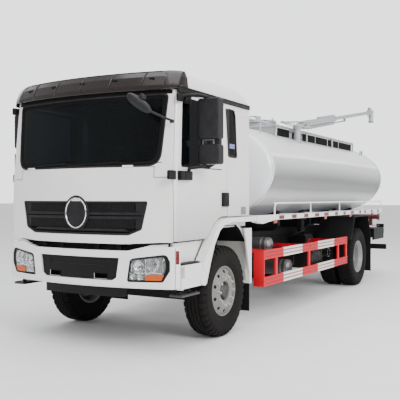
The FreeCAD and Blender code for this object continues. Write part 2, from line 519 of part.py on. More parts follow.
# smoked sun visor over the windscreen
vo = plan_loft([(2778, 58, 1150, 700, 190, 20), (2830, 66, 1152, 700, 190, 20), (2930, 120, 1140, 720, 190, 20), (3000, 186, 1110, 760, 180, 20)])
vi = plan_loft([(2770, 66, 1142, 800, 182, 20), (2830, 74, 1144, 800, 182, 20), (2930, 128, 1132, 820, 182, 20), (3010, 194, 1102, 860, 172, 20)])
visor = vo.cut(vi).common(box(-1300, 1300, 0, 470, 2778, 3000))
vb = []
for xc in (-1000, -400, 400, 1000):
    y0 = CAB_ARC_R - math.sqrt(CAB_ARC_R ** 2 - xc ** 2)
    vb.append(poly_yz([(y0 + 78, 2880), (y0 + 250, 2945), (y0 + 262, 2890), (y0 + 130, 2800)], xc - 8, xc + 8))
visor = fuse(visor, *[b.common(vo) for b in vb]).cut(outer)
out("sun_visor", visor)

# dashboard, seats, steering wheel (driver on the vehicle's right)
dash = plan_loft([(1560, 152, 1040, 560, 20, 60), (1900, 152, 1040, 520, 20, 60), (1960, 160, 1030, 430, 20, 40)])
dash = dash.cut(box(-1060, -60, 440, 600, 1500, 1740))
dash = dash.common(box(-1015, 1015, 0, 700, 1500, 2000))


def seat(xc):
    s = fuse(rbox(xc - 250, xc + 250, 860, 1380, 1640, 1770, 45),
             box(xc - 190, xc + 190, 920, 1340, FLOOR_Z1, 1645))
    back = poly_yz([(1330, 1700), (1440, 1700), (1560, 2330), (1450, 2330)], xc - 240, xc + 240)
    back = back.makeFillet(35, back.Edges)
    hr = poly_yz([(1465, 2350), (1555, 2350), (1590, 2530), (1500, 2530)], xc - 150, xc + 150)
    hr = hr.makeFillet(30, hr.Edges)
    st = rod((xc - 60, 1505, 2300), (xc - 60, 1535, 2400), 8).fuse(rod((xc + 60, 1505, 2300), (xc + 60, 1535, 2400), 8))
    return fuse(s, back, hr, st)


out("seats", comp(seat(-620), seat(620)))

SW = V(-620, 720, 1990)
swn = V(0, 0.42, 0.907)
tor = Part.makeTorus(225, 16, SW, swn)
spk = []
for ang in (0, 120, 240):
    a = math.radians(ang + 90)
    u = V(1, 0, 0)
    w = swn.cross(u)
    e = SW + u * (218 * math.cos(a)) + w * (218 * math.sin(a))
    spk.append(Part.makeCylinder(13, (e - (SW - swn * 20)).Length, SW - swn * 20, e - (SW - swn * 20)))
hubw = Part.makeCylinder(60, 45, SW - swn * 45, swn)
shaft = Part.makeCylinder(18, 160, SW - swn * 190, swn)
out("steering_wheel", fuse(tor, hubw, shaft, *spk))
colp = SW - swn * 196
column = fuse(Part.makeCylinder(26, 230, colp - swn * 230, swn), rod((-620, 520, 1690), (-620, 600, 1690), 40))
out("dashboard", fuse(dash, column.common(box(-800, -400, 300, 760, 1500, 1900))))


# =====================================================================
# doors with glass and mirrors
# =====================================================================
DOOR_X, DOOR_Y = 1134.0, 207.0      # hinge line
dsk_all = cab_solid(0, 1150, 2790).cut(cab_solid(64, 1100, 2790)).common(box(1080, 1300, -200, 1500, 1150, 2790))
door = dsk_all.common(round_poly(DOOR, DOOR_R, 'yz', 1080, 1300))
DW = [(322, 1990), (338, 2380), (352, 2640), (366, 2712), (1226, 2712), (1240, 2690), (1246, 1990), (1225, 1975), (345, 1975)]
door = door.cut(round_poly(DW, [20, 200, 60, 20, 20, 20, 20, 20, 25], 'yz', 1000, 1300))
trim = box(1066, 1090, 330, 1330, 1340, 1940).common(round_poly([(330, 1340), (330, 1940), (1330, 1940), (1330, 1440), (1080, 1420), (980, 1340)], 40, 'yz', 1000, 1200))
door = fuse(door, trim)
handle = fuse(box(1151, 1176, 1236, 1382, 1545, 1705))
handle = handle.cut(box(1149, 1162, 1256, 1362, 1575, 1690))
door = fuse(door, box(1148, 1152, 1240, 1378, 1549, 1701), handle)
out("door_left", door)
out("door_right", mirror(door))
dg = gl.common(round_poly([(323, 1991), (339, 2380), (353, 2640), (367, 2711), (1225, 2711), (1239, 2689), (1245, 1991), (1224, 1976), (346, 1976)], [20, 200, 60, 20, 20, 20, 20, 20, 25], 'yz', 1100, 1200))
out("door_glass_left", dg)
out("door_glass_right", mirror(dg))

def mir():
    head = rbox(1218, 1482, 540, 650, 2272, 2712, 28)
    wide = rbox(1222, 1484, 545, 650, 2004, 2218, 26)
    blk = rbox(1150.5, 1205, 196, 492, 1826, 1932, 16)
    arm_l = fuse(rod((1180, 440, 1925), (1180, 440, 1965), 18), rod((1180, 440, 1965), (1290, 560, 1985), 14), rod((1290, 560, 1985), (1330, 600, 2060), 14))
    post = rod((1350, 612, 2100), (1350, 612, 2500), 13)
    arm_u = fuse(rod((1350, 612, 2600), (1280, 590, 2745), 13), rod((1280, 590, 2745), (1165, 420, 2735), 14), rbox(1150.5, 1196, 352, 470, 2640, 2736, 14))
    return fuse(head, wide, blk, arm_l, post, arm_u)


m = mir()
out("mirror_left", m)
out("mirror_right", mirror(m))

# front-view mirror hung ahead of the left pillar, a leaning capsule
fmh = fuse(rod((795, -80, 2678), (1005, -80, 2535), 49.7), Part.makeSphere(50, V(795, -80, 2678)), Part.makeSphere(50, V(1005, -80, 2535)))
fma = fuse(rod((1020, -60, 2520), (1096, 60, 2470), 9), rod((1096, 60, 2470), (1132, 195, 2440), 9), cyl(18, 12, (1118, 178, 2437), (1.2, 1, 0)))
fma = fuse(fmh, fma).cut(outer)
out("front_mirror", fma)

# =====================================================================
# tank
# =====================================================================


def ell_wire(a, b, y, zc):
    e = Part.Ellipse(V(0, y, zc), a, b)
    e = Part.Ellipse(V(a, 0, 0), V(0, b, 0), V(0, 0, 0))
    s = Part.Wire([e.toShape()])
    s.rotate(V(0, 0, 0), V(1, 0, 0), 90)
    s.translate(V(0, y, zc))
    return s


def ell_solid(a, b, y0, y1, zc):
    return Part.Face(ell_wire(a, b, y0, zc)).extrude(V(0, y1 - y0, 0))


def head(y, sign):
    """Shallow dished head: an ellipsoid's cap."""
    s = Part.makeSphere(1.0)
    m = FreeCAD.Matrix()
    m.A11, m.A22, m.A33 = TANK_A - 12, HEAD_DEPTH, TANK_B - 12
    s = s.transformGeometry(m)
    s.translate(V(0, y, TANK_Z))
    if sign < 0:
        return s.common(box(-1300, 1300, y - 400, y + 5, 1000, 3000))
    return s.common(box(-1300, 1300, y - 5, y + 400, 1000, 3000))


tank = ell_solid(TANK_A - 8, TANK_B - 8, TANK_Y0, TANK_Y1, TANK_Z)
rims = [ell_solid(TANK_A, TANK_B, TANK_Y0, TANK_Y0 + 46, TANK_Z), ell_solid(TANK_A, TANK_B, TANK_Y1 - 46, TANK_Y1, TANK_Z)]
for yc in (4160, 5610, 7060):
    rims.append(ell_solid(TANK_A - 5, TANK_B - 5, yc - 14, yc + 14, TANK_Z))
tank = fuse(tank, head(TANK_Y0 + 4, -1), head(TANK_Y1 - 4, 1), *rims)
out("tank_shell", tank)

# manhole neck with a flange, on the crown of the tank
TOP = TANK_Z + TANK_B
neck = tube((0, MANHOLE_Y, TOP - 40), (0, MANHOLE_Y, TOP + 150), 300, 290)
flange = tube((0, MANHOLE_Y, TOP + 150), (0, MANHOLE_Y, TOP + 172), 345, 290)
hb = box(-58, 58, MANHOLE_Y + 292, MANHOLE_Y + 372, TOP + 122, TOP + 158).fuse(box(-60, -30, MANHOLE_Y + 352, MANHOLE_Y + 395, TOP + 124, TOP + 207)).fuse(box(30, 60, MANHOLE_Y + 352, MANHOLE_Y + 395, TOP + 124, TOP + 207))
hb = hb.fuse(rod((-66, MANHOLE_Y + 372, TOP + 192), (66, MANHOLE_Y + 372, TOP + 192), 10))
nk = fuse(neck, flange, hb).cut(ell_solid(TANK_A - 8, TANK_B - 8, 4000, 5400, TANK_Z))
out("manhole_neck", nk)
LID_Y, LID_Z = MANHOLE_Y + 372, TOP + 192
lid = cyl(340, 16, (0, MANHOLE_Y, TOP + 178), (0, 0, 1))
dome = Part.makeSphere(900, V(0, MANHOLE_Y, TOP + 194 + 42 - 900)).common(cyl(262, 120, (0, MANHOLE_Y, TOP + 190), (0, 0, 1)))
lid = fuse(lid, dome, box(-26, 26, MANHOLE_Y + 300, LID_Y + 6, TOP + 178, TOP + 206))
lid = lid.cut(cyl(11.5, 100, (-50, LID_Y, LID_Z), (1, 0, 0))).cut(box(-30, 30, LID_Y + 14, LID_Y + 60, TOP + 150, TOP + 230))
lug = tube((-26, LID_Y, LID_Z), (26, LID_Y, LID_Z), 22, 11.5)
lid = fuse(lid, lug).cut(cyl(11.5, 100, (-50, LID_Y, LID_Z), (1, 0, 0)))
out("manhole_lid", lid)

# subframe and saddles under the tank
sub = [box(355, 425, 2600, 8560, FRAME_Z1 + 1, 1121)]
for yc in (2812, 4160, 5610, 7060, 8080):
    sad = box(-640, 640, yc - 45, yc + 45, 1121, 1500)
    sad = sad.cut(ell_solid(TANK_A - 4, TANK_B - 4, yc - 100, yc + 100, TANK_Z))
    sad = sad.cut(poly_xz([(-700, 1000), (-700, 1260), (-560, 1121), (-560, 1000)], yc - 100, yc + 100)).cut(poly_xz([(700, 1000), (700, 1260), (560, 1121), (560, 1000)], yc - 100, yc + 100))
    sub.append(box(-560, 560, yc - 60, yc + 60, 1120, 1121.5))
    sub.append(sad)
out("tank_saddles", fuse(*sub, mirror(sub[0])))

# side rails of the catwalk with the tapering front wedge, floor plates, low handrail
rail_w = box(1150, 1200, 2720, 8420, 1346, 1412)
wedge = poly_yz([(2130, 1330), (2130, 1418), (2720, 1412), (2720, 1346), (2420, 1318), (2300, 1306)], 1120, 1200)
plate = box(990, 1150, 2720, 8420, 1400, 1408).cut(ell_solid(TANK_A + 4, TANK_B + 4, 2500, 8700, TANK_Z))
brackets = [box(560, 1160, yc - 20, yc + 20, 1350, 1400).cut(ell_solid(TANK_A + 4, TANK_B + 4, 2500, 8700, TANK_Z)) for yc in (2950, 4300, 5400, 6900, 8250)]
hand = [rod((1186, 2722, 1412), (1186, 2722, 1530), 11)]
yy = [2722, 4130, 5575, 6970, 8380]
bend_h = Part.makeTorus(90, 10.5, V(0, 0, 0), V(0, 0, 1), 0, 360, 90)
bend_h.rotate(V(0, 0, 0), V(0, 1, 0), 90)
bend_h.rotate(V(0, 0, 0), V(1, 0, 0), 180)
hand = [rod((1186, y, 1410), (1186, y, 1575), 10) for y in yy[1:]] + [rod((1186, 2722, 1410), (1186, 2722, 1487), 11), rod((1186, 2809, 1575), (1186, 8380, 1575), 11), Part.makeSphere(11, V(1186, 8380, 1575))]
bh = bend_h.copy()
bh.translate(V(1186, 2812, 1485))

hand.append(bh)
sk = fuse(rail_w, wedge, plate, *brackets)
out("side_catwalks", both(fuse(sk, *hand)))

# deck on top with its side panels, guard rails and struts
deck = box(-645, 645, 3990, 8096, 2772, 2784)
side = box(626, 638, 4010, 8084, 2560, 2773)
endp = box(-626, 626, 8072, 8084, 2600, 2773)
ribs = [box(-630, 630, yc - 20, yc + 20, 2600, 2773) for yc in (4030, 5600, 6400, 7200)]
walk = fuse(deck, side, mirror(side), endp, *ribs)
walk = walk.cut(cyl(362, 300, (0, MANHOLE_Y, 2600), (0, 0, 1))).cut(box(-110, 110, MANHOLE_Y + 200, MANHOLE_Y + 480, 2600, 2900))
rails = []
for sx in (1, -1):
    rails += [rod((sx * RAIL_X, 2780, 2790), (sx * RAIL_X, 4000, 2790), 11), rod((sx * RAIL_X, 3990, 2790), (sx * RAIL_X, 8108, 2790), 17),
              Part.makeSphere(14, V(sx * RAIL_X, 2780, 2790)), rod((sx * RAIL_X, 2780, 2790), (sx * RAIL_X, 2780, 2590), 11),
              rod((sx * RAIL_X, 3400, 2790), (sx * RAIL_X, 3400, 2590), 11),
              Part.makeSphere(17.5, V(sx * RAIL_X, 8108, 2790)), rod((sx * RAIL_X, 8108, 2792), (sx * RAIL_X, 8108, 2560), 16)]
    for yc in (4020, 5372, 6744):
        rails.append(rod((sx * RAIL_X, yc, 2786), (sx * 748, yc - 236, 2560), 15))
rails.append(rod((-RAIL_X, 8108, 2790), (RAIL_X, 8108, 2790), 16))
rails.append(rod((-RAIL_X, 2780, 2790), (RAIL_X, 2780, 2790), 11))
rails.append(rod((-RAIL_X, 4008, 2790), (RAIL_X, 4008, 2790), 14))
walk = fuse(walk, *rails)
walk = walk.cut(ell_solid(TANK_A - 4, TANK_B - 4, 2600, 8300, TANK_Z))
# room for the boom's pillar and for its pipe to the manhole's neck
walk = walk.cut(cyl(95, 400, (BOOM_X, BOOM_Y, 2500), (0, 0, 1))).cut(rod((280, BOOM_Y, 2765), (BOOM_X, BOOM_Y, 2765), 52))
out("top_walkway", walk)

# =====================================================================
# loading boom on the left shoulder
# =====================================================================
TS = TANK_Z + (TANK_B - 8) * math.sqrt(1 - (BOOM_X / (TANK_A - 8)) ** 2)

def boom_place(s):
    """Boom parts are drawn along +Y from the lift pivot, then raised, slewed and set in place."""
    s = s.copy()
    s.rotate(V(0, 0, 0), V(1, 0, 0), BOOM_LIFT)
    s.rotate(V(0, 0, 0), V(0, 0, 1), -BOOM_SLEW)
    s.translate(PIV)
    return s


def turret_place(s):
    """Turret parts are drawn with +Y toward the boom's heel, about the pillar's axis."""
    s = s.copy()
    s.rotate(V(0, 0, 0), V(0, 0, 1), -BOOM_SLEW)
    s.translate(V(BOOM_X, BOOM_Y, 0))
    return s


sl = math.radians(BOOM_SLEW)
PIV = V(BOOM_X + BOOM_REACH * math.sin(sl), BOOM_Y + BOOM_REACH * math.cos(sl), BOOM_PIVOT_Z)
pillar = fuse(cyl(54, PILLAR_Z - 2500, (BOOM_X, BOOM_Y, 2500), (0, 0, 1)), cyl(72, 22, (BOOM_X, BOOM_Y, PILLAR_Z - 22), (0, 0, 1)),
              rod((BOOM_X, BOOM_Y, 2765), (290, BOOM_Y, 2765), 35), cyl(48, 90, (330, BOOM_Y, 2765), (1, 0, 0)))
pillar = pillar.cut(cyl(300.5, 500, (0, MANHOLE_Y, 2500), (0, 0, 1))).cut(ell_solid(TANK_A - 8, TANK_B - 8, 4000, 5400, TANK_Z))
out("boom_pillar", pillar)

TZ = PILLAR_Z + 3.0
turret = fuse(cyl(72, 26, (0, 0, TZ), (0, 0, 1)),
              poly_yz([(-60, TZ + 4), (BOOM_REACH + 40, TZ + 4), (BOOM_REACH + 40, TZ + 24), (-60, TZ + 24)], -66, 66),
              poly_yz([(-40, TZ + 20), (BOOM_REACH + 48, TZ + 20), (BOOM_REACH + 48, BOOM_PIVOT_Z + 10), (BOOM_REACH + 28, BOOM_PIVOT_Z + 36), (BOOM_REACH - 30, BOOM_PIVOT_Z + 36)], 54, 66),
              poly_yz([(-40, TZ + 20), (BOOM_REACH + 48, TZ + 20), (BOOM_REACH + 48, BOOM_PIVOT_Z + 10), (BOOM_REACH + 28, BOOM_PIVOT_Z + 36), (BOOM_REACH - 30, BOOM_PIVOT_Z + 36)], -66, -54),
              rod((-76, BOOM_REACH, BOOM_PIVOT_Z), (76, BOOM_REACH, BOOM_PIVOT_Z), 14))
tail = fuse(rod((60, BOOM_REACH - 30, BOOM_PIVOT_Z + 22), (20, -560, TZ + 32), 11), rod((-60, BOOM_REACH - 30, BOOM_PIVOT_Z + 22), (-20, -560, TZ + 32), 11),
            rod((-22, -560, TZ + 32), (22, -560, TZ + 32), 14), rod((60, -20, TZ + 14), (20, -560, TZ + 32), 9), rod((-60, -20, TZ + 14), (-20, -560, TZ + 32), 9))
turret = turret.cut(poly_yz([(60, TZ + 26), (BOOM_REACH - 90, TZ + 26), (BOOM_REACH - 90, BOOM_PIVOT_Z - 12)], -80, 80))
out("boom_turret", turret_place(fuse(turret, tail)))

bs = box(-45, 45, -48, BASE_LEN, -48, 48).cut(box(-37, 37, 46, BASE_LEN + 5, -40, 40)).cut(cyl(15, 120, (-60, 0, 0), (1, 0, 0)))
barrel = rod((0, 58, -78), (0, BASE_LEN - 30, -78), 27).cut(rod((0, 72, -78), (0, BASE_LEN, -78), 18))
bs = bs.multiFuse([box(-24, 24, 90, 130, -56, -40.5), box(-24, 24, BASE_LEN - 120, BASE_LEN - 70, -56, -40.5), box(-38, 38, 560, BASE_LEN - 45, 44, 74), barrel])
out("boom_base", boom_place(bs))

ext = box(-31, 31, EXT_IN, TIP, -32, 32).cut(box(-25, 25, EXT_IN - 5, TIP - 80, -26, 26))
EB = 1780.0
ext = fuse(ext, box(-22, 22, EB, EB + 24, -92, -30), rod((0, 860, -78), (0, EB + 6, -78), 12),
           box(-40, 40, TIP - 160, TIP - 120, -42, 42), box(-20, 20, TIP - 165, TIP - 115, 40, 66), box(-20, 20, TIP - 60, TIP - 20, 40, 70))
ext_p = boom_place(ext)
tipc = boom_place(Part.Vertex(0, TIP, 0)).Point
spout = fuse(Part.makeSphere(60, tipc), cyl(SPOUT_R + 2, SPOUT_LEN, (tipc.x, tipc.y, tipc.z), (0, 0, -1)), cyl(SPOUT_R + 7, 16, (tipc.x, tipc.y, tipc.z - SPOUT_LEN), (0, 0, 1)))
spout = spout.cut(cyl(SPOUT_BORE, SPOUT_LEN - 20, (tipc.x, tipc.y, tipc.z - SPOUT_LEN - 10), (0, 0, 1)))
lever = boom_place(fuse(rod((0, TIP - 190, -30), (0, TIP - 250, -62), 7), rod((0, TIP - 250, -62), (0, TIP - 120, -80), 7)))
ext_all = fuse(ext_p.cut(cyl(SPOUT_BORE, SPOUT_LEN - 20, (tipc.x, tipc.y, tipc.z - SPOUT_LEN - 10), (0, 0, 1))), spout, lever)
out("boom_extension", ext_all)
print("pivot", PIV, "tip", tipc)

# =====================================================================
# underneath and rear
# =====================================================================
GX0, GX1 = 1165.0, 1200.0
g = [box(GX0, GX1, 2335, 5990, 830, 950), box(GX0, GX1, 2335, 5990, 475, 595), box(1046, GX1, 2335, 2360, 475, 950)]
for yc in (2775, 4060, 5490, 5950):
    g.append(box(GX0 + 5, GX1 - 5, yc - 35, yc + 35, 590, 835))
gd = fuse(*g)
for z0 in (830, 475):
    for k in (30, 78):
        gd = gd.cut(box(GX1 - 8, GX1 + 10, 2380, 5985, z0 + k, z0 + k + 14))
for yc in (2775, 4060, 5490):
    gd = fuse(gd, box(431, GX0 + 1, yc - 25, yc + 25, 880, 930))
gd = fuse(gd, box(1100, GX0 + 1, 2750, 2800, 500, 560))
out("side_guards", both(gd))

ft = rbox(470, 1110, 3050, 4350, 460, 860, 60)
straps = [box(462, 1118, yc - 20, yc + 20, 452, 868).cut(box(472, 1108, yc - 30, yc + 30, 462, 858)) for yc in (3300, 4100)]
ft = mirror(fuse(ft, *straps, cyl(50, 30, (900, 3180, 855), (0, 0, 1)), box(431, 475, 3280, 3320, 780, 860), box(431, 475, 4080, 4120, 780, 860)))
out("fuel_tank", ft)

at = fuse(rod((520, 2930, 985), (1020, 2930, 985), 105), box(431, 540, 2900, 2960, 940, 1010))
at2 = fuse(rod((520, 3700, 600), (1000, 3700, 600), 118), box(431, 480, 3660, 3740, 780, 960), box(470, 530, 3670, 3730, 640, 830))
out("air_tanks", comp(at, at2))

bat = fuse(rbox(470, 1090, 4350, 4950, 520, 800, 20), box(431, 475, 4400, 4900, 770, 800), box(431, 475, 4600, 4700, 620, 780))
out("battery_box", bat)

# pump and its pipework with the discharge outlet on the left side
pump = fuse(rbox(470, 760, 5080, 5420, 620, 1000, 25), rod((750, 5250, 715), (900, 5250, 715), 100), rod((600, 5250, 990), (600, 5250, 1440), 55), cyl(90, 22, (600, 5250, 1270), (0, 0, 1)),
            box(431, 475, 5120, 5380, 820, 960))
disch = fuse(rod((820, 5250, 715), (1080, 5250, 715), OUTLET_R + 9), cyl(OUTLET_R + 30, 20, (1080, 5250, 715), (1, 0, 0)))
pump = fuse(pump, disch).cut(cyl(OUTLET_R, 140, (980, 5250, 715), (1, 0, 0)))
pump = pump.cut(ell_solid(TANK_A - 6, TANK_B - 6, 4900, 5800, TANK_Z))
out("discharge_pump", pump)

# rear mudguards: three flat plates over each pair of wheels, flap behind
mg = [(6130, 880), (6395, 1300), (7270, 1300), (7490, 860), (7482, 850), (7263, 1288), (6402, 1288), (6142, 872)]
mgp = poly_yz(mg, 560, 1225)
post = [box(431, 700, 6380, 6420, 1180, 1220), box(431, 700, 7240, 7280, 1150, 1190)]
mg_s = fuse(mgp, poly_yz([(6395, 1288), (6440, 1288), (6440, 1180), (6380, 1180), (6340, 1180)], 560, 620), poly_yz([(7225, 1289), (7264, 1289), (7320, 1150), (7225, 1150)], 560, 620), *post)
out("rear_mudguards", both(mg_s))
out("mudflaps", comp(both(box(760, 1140, 2002, 2014, 205, 559)), both(fuse(box(590, 1215, 7496, 7508, 190, 900), box(431, 1160, 7506, 7519, 830, 880)))))

lampb = fuse(box(431, 1160, 7960, 8740, 1000, 1016), box(1120, 1160, 7960, 8740, 780, 1008), box(431, 1160, 8722, 8740, 780, 1008))
lamps = fuse(box(820, 1150, 8740, 8790, 880, 1000), box(1000, 1156, 8740, 8785, 1010, 1085))
lampb = fuse(lampb, lamps)
out("tail_lamps", both(lampb))

rub = fuse(box(-1150, 1150, 8950, Y_REAR, 520, 630), box(352, 428, 8500, 8960, 560, 620), box(-428, -352, 8500, 8960, 560, 620),
           box(365, 415, 8500, 8560, 610, 769), box(-415, -365, 8500, 8560, 610, 769))
front_bar = fuse(bar, box(380, 430, 150, 330, 600, 668), box(-430, -380, 150, 330, 600, 668), box(380, 430, 270, 328, 600, 799), box(-430, -380, 270, 328, 600, 799))
out("underrun_bars", comp(rub, front_bar))

# ladder at the back of the tank, and the hose cabinet beside it
lad = []
for x in (-210, 210):
    lad += [rod((x, 8830, 700), (x, 8830, 2300), 16), rod((x, 8830, 2300), (x, 8560, 2700), 16), rod((x, 8560, 2700), (x, 8130, 2786), 16), Part.makeSphere(16, V(x, 8830, 2300)), Part.makeSphere(16, V(x, 8560, 2700)), rod((x, 8830, 1000), (x, 8792, 1000), 14)]
for i in range(7):
    lad.append(rod((-210, 8830, 800 + 250 * i), (210, 8830, 800 + 250 * i), 12))
lad.append(rod((-210, 8700, 2493), (210, 8700, 2493), 12))
lad = fuse(*lad).cut(tank)
out("rear_ladder", lad)
cabn = rbox(-1120, -430, 8180, 8800, 1062, 1330, 14)
hose = fuse(rod((470, 8560, 1240), (1085, 8560, 1240), 52), cyl(78, 18, (1085, 8560, 1240), (1, 0, 0)), box(500, 560, 8520, 8600, 1061, 1210), box(900, 960, 8520, 8600, 1061, 1210), box(431, 1100, 8480, 8640, 1050, 1062))
hose = hose.cut(cyl(OUTLET_R, 140, (1000, 8560, 1240), (1, 0, 0)))
cabn = fuse(cabn, box(-1100, -431, 8300, 8700, 1041, 1063))
out("rear_cabinet", cabn)
out("gravity_outlet", hose)

# =====================================================================
# where two parts of one body meet, the first named gives way to the second
# =====================================================================
N = dict(NODES)
for a, b in (("tyre_front_left", "rim_front_left"), ("tyre_front_right", "rim_front_right"), ("tyre_rear_left", "rim_rear_left"), ("tyre_rear_right", "rim_rear_right"),
             ("dashboard", "cab_shell"), ("step_boxes", "chassis_frame"), ("step_boxes", "headlamps"), ("step_treads", "headlamps"), ("propshaft", "rear_axle"),
             ("rear_cabinet", "tail_lamps"), ("rear_mudguards", "tank_saddles")):
    N[a] = N[a].cut(N[b])
NODES = [(name, N[name]) for name, _ in NODES]

# =====================================================================
for name, s in NODES:
    s.exportStep("parts/%s.step" % name)
bb = Part.makeCompound([s for _, s in NODES]).BoundBox
print("nodes", len(NODES), "box", [round(v, 2) for v in (bb.XMin, bb.XMax, bb.YMin, bb.YMax, bb.ZMin, bb.ZMax)])
for name, s in NODES:
    bad = [i for i, so in enumerate(s.Solids) if not so.isValid()]
    if bad or not s.Solids:
        print("check", name, len(s.Solids), "invalid", bad)
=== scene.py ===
import bpy, bmesh, math, random
from mathutils import Vector, Matrix


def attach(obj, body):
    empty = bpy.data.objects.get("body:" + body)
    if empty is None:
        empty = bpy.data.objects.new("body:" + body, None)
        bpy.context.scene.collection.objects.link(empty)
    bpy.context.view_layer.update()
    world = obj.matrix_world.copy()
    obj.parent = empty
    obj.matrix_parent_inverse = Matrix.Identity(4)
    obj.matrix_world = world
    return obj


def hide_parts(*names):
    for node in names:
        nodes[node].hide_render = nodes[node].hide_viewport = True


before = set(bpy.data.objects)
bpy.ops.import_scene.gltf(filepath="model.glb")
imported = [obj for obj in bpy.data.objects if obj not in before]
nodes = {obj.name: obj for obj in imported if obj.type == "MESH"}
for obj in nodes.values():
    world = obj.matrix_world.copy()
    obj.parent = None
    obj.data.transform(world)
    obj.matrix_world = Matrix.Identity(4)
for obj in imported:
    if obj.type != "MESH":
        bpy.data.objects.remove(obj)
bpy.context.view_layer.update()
YM = 4450.0
rng = random.Random(7)


def P(x, y, z):
    """Vehicle millimetres to the frame's metres."""
    return Vector((x / 1000.0, (y - YM) / 1000.0, z / 1000.0))


# =====================================================================
# materials
# =====================================================================
def new_mat(name):
    m = bpy.data.materials.new(name)
    m.use_nodes = True
    nt = m.node_tree
    bs = nt.nodes["Principled BSDF"]
    return m, nt, bs


def N(nt, kind, **kw):
    n = nt.nodes.new(kind)
    for k, v in kw.items():
        setattr(n, k, v)
    return n


def coords(nt):
    return N(nt, "ShaderNodeTexCoord").outputs["Object"]


def noise(nt, vec, scale, detail=4.0, rough=0.55, stretch=None):
    if stretch:
        mp = N(nt, "ShaderNodeMapping")
        mp.inputs["Scale"].default_value = stretch
        nt.links.new(vec, mp.inputs["Vector"])
        vec = mp.outputs["Vector"]
    n = N(nt, "ShaderNodeTexNoise")
    n.inputs["Scale"].default_value = scale
    n.inputs["Detail"].default_value = detail
    n.inputs["Roughness"].default_value = rough
    nt.links.new(vec, n.inputs["Vector"])
    return n.outputs["Fac"]


def ramp(nt, fac, stops):
    r = N(nt, "ShaderNodeValToRGB")
    els = r.color_ramp.elements
    while len(els) > len(stops):
        els.remove(els[-1])
    while len(els) < len(stops):
        els.new(1.0)
    for e, (p, c) in zip(els, stops):
        e.position = p
        e.color = (c[0], c[1], c[2], 1.0) if not isinstance(c, float) else (c, c, c, 1.0)
    nt.links.new(fac, r.inputs["Fac"])
    return r.outputs["Color"]


def mixc(nt, fac, a, b, mode="MIX"):
    m = N(nt, "ShaderNodeMix", data_type="RGBA", blend_type=mode)
    if isinstance(fac, float):
        m.inputs[0].default_value = fac
    else:
        nt.links.new(fac, m.inputs[0])
    for s, v in ((m.inputs[6], a), (m.inputs[7], b)):
        if isinstance(v, tuple):
            s.default_value = (v[0], v[1], v[2], 1.0)
        else:
            nt.links.new(v, s)
    return m.outputs[2]


def bump(nt, bs, height, strength, dist):
    b = N(nt, "ShaderNodeBump")
    b.inputs["Strength"].default_value = strength
    b.inputs["Distance"].default_value = dist
    nt.links.new(height, b.inputs["Height"])
    nt.links.new(b.outputs["Normal"], bs.inputs["Normal"])
    return b


def maprange(nt, val, a, b, c, d):
    m = N(nt, "ShaderNodeMapRange")
    nt.links.new(val, m.inputs["Value"])
    for k, v in (("From Min", a), ("From Max", b), ("To Min", c), ("To Max", d)):
        m.inputs[k].default_value = v
    return m.outputs["Result"]


def mul(nt, a, b):
    m = N(nt, "ShaderNodeMath", operation="MULTIPLY")
    for s, v in ((m.inputs[0], a), (m.inputs[1], b)):
        if isinstance(v, float):
            s.default_value = v
        else:
            nt.links.new(v, s)
    return m.outputs[0]


def zsplit(nt, vec):
    s = N(nt, "ShaderNodeSeparateXYZ")
    nt.links.new(vec, s.inputs[0])
    return s.outputs


def mulv(nt, a, b):
    m_ = N(nt, "ShaderNodeMath", operation="MULTIPLY")
    nt.links.new(a, m_.inputs[0])
    nt.links.new(b, m_.inputs[1])
    return m_.outputs[0]


def paint(name, col, rough=0.32, coat=0.4, dirt=(0.30, 0.27, 0.23), dirt_low=0.35, dirt_all=0.10, metal=0.0, peel=0.0004, low_z=(0.4, 1.5), streak=0.0, spec=0.5, side=0.0):
    """Sprayed paint: slight tone change, road dust that grows towards the ground, orange peel; side > 0 adds painted
    shade that darkens the lower outer sides.
    """
    m, nt, bs = new_mat(name)
    v = coords(nt)
    big = noise(nt, v, 1.3, 5.0)
    fine = noise(nt, v, 22.0, 6.0, 0.65)
    base = mixc(nt, maprange(nt, big, 0.35, 0.65, 0.0, 1.0), tuple(c * 0.965 for c in col), tuple(min(1.0, c * 1.02) for c in col))
    z = zsplit(nt, v)[2]
    low = maprange(nt, z, low_z[0], low_z[1], dirt_low, 0.0)
    spots = maprange(nt, fine, 0.42, 0.72, 0.0, 1.0)
    a = mul(nt, low, maprange(nt, fine, 0.25, 0.7, 0.35, 1.0))
    b = mul(nt, spots, dirt_all)
    s = N(nt, "ShaderNodeMath", operation="ADD", use_clamp=True)
    nt.links.new(a, s.inputs[0])
    nt.links.new(b, s.inputs[1])
    fac = s.outputs[0]
    if streak:
        st = noise(nt, v, 1.0, 3.0, 0.5, stretch=(14.0, 14.0, 0.9))
        s2 = N(nt, "ShaderNodeMath", operation="ADD", use_clamp=True)
        nt.links.new(fac, s2.inputs[0])
        nt.links.new(mul(nt, maprange(nt, st, 0.52, 0.75, 0.0, 1.0), streak), s2.inputs[1])
        fac = s2.outputs[0]
    c = mixc(nt, fac, base, dirt)
    # painted shade: with side set, the outer faces (|x| 1.09-1.15 m) get darker towards the bottom (z 0.95-1.75 m), a
    # painted reflection of the dark ground
    if side:
        ax_ = N(nt, "ShaderNodeMath", operation="ABSOLUTE")
        nt.links.new(zsplit(nt, v)[0], ax_.inputs[0])
        side_shade_mask = mulv(nt, maprange(nt, ax_.outputs[0], 1.09, 1.15, 0.0, 1.0), maprange(nt, z, 0.95, 1.75, side, 0.0))
        c = mixc(nt, side_shade_mask, c, (0.30, 0.295, 0.29))
    nt.links.new(c, bs.inputs["Base Color"])
    nt.links.new(maprange(nt, fac, 0.0, 0.8, rough, min(0.9, rough + 0.35)), bs.inputs["Roughness"])
    bs.inputs["Metallic"].default_value = metal
    bs.inputs["Coat Weight"].default_value = coat
    bs.inputs["Coat Roughness"].default_value = 0.12
    bs.inputs["Specular IOR Level"].default_value = spec
    if peel:
        bump(nt, bs, noise(nt, v, 160.0, 2.0), 0.35, peel)
    return m


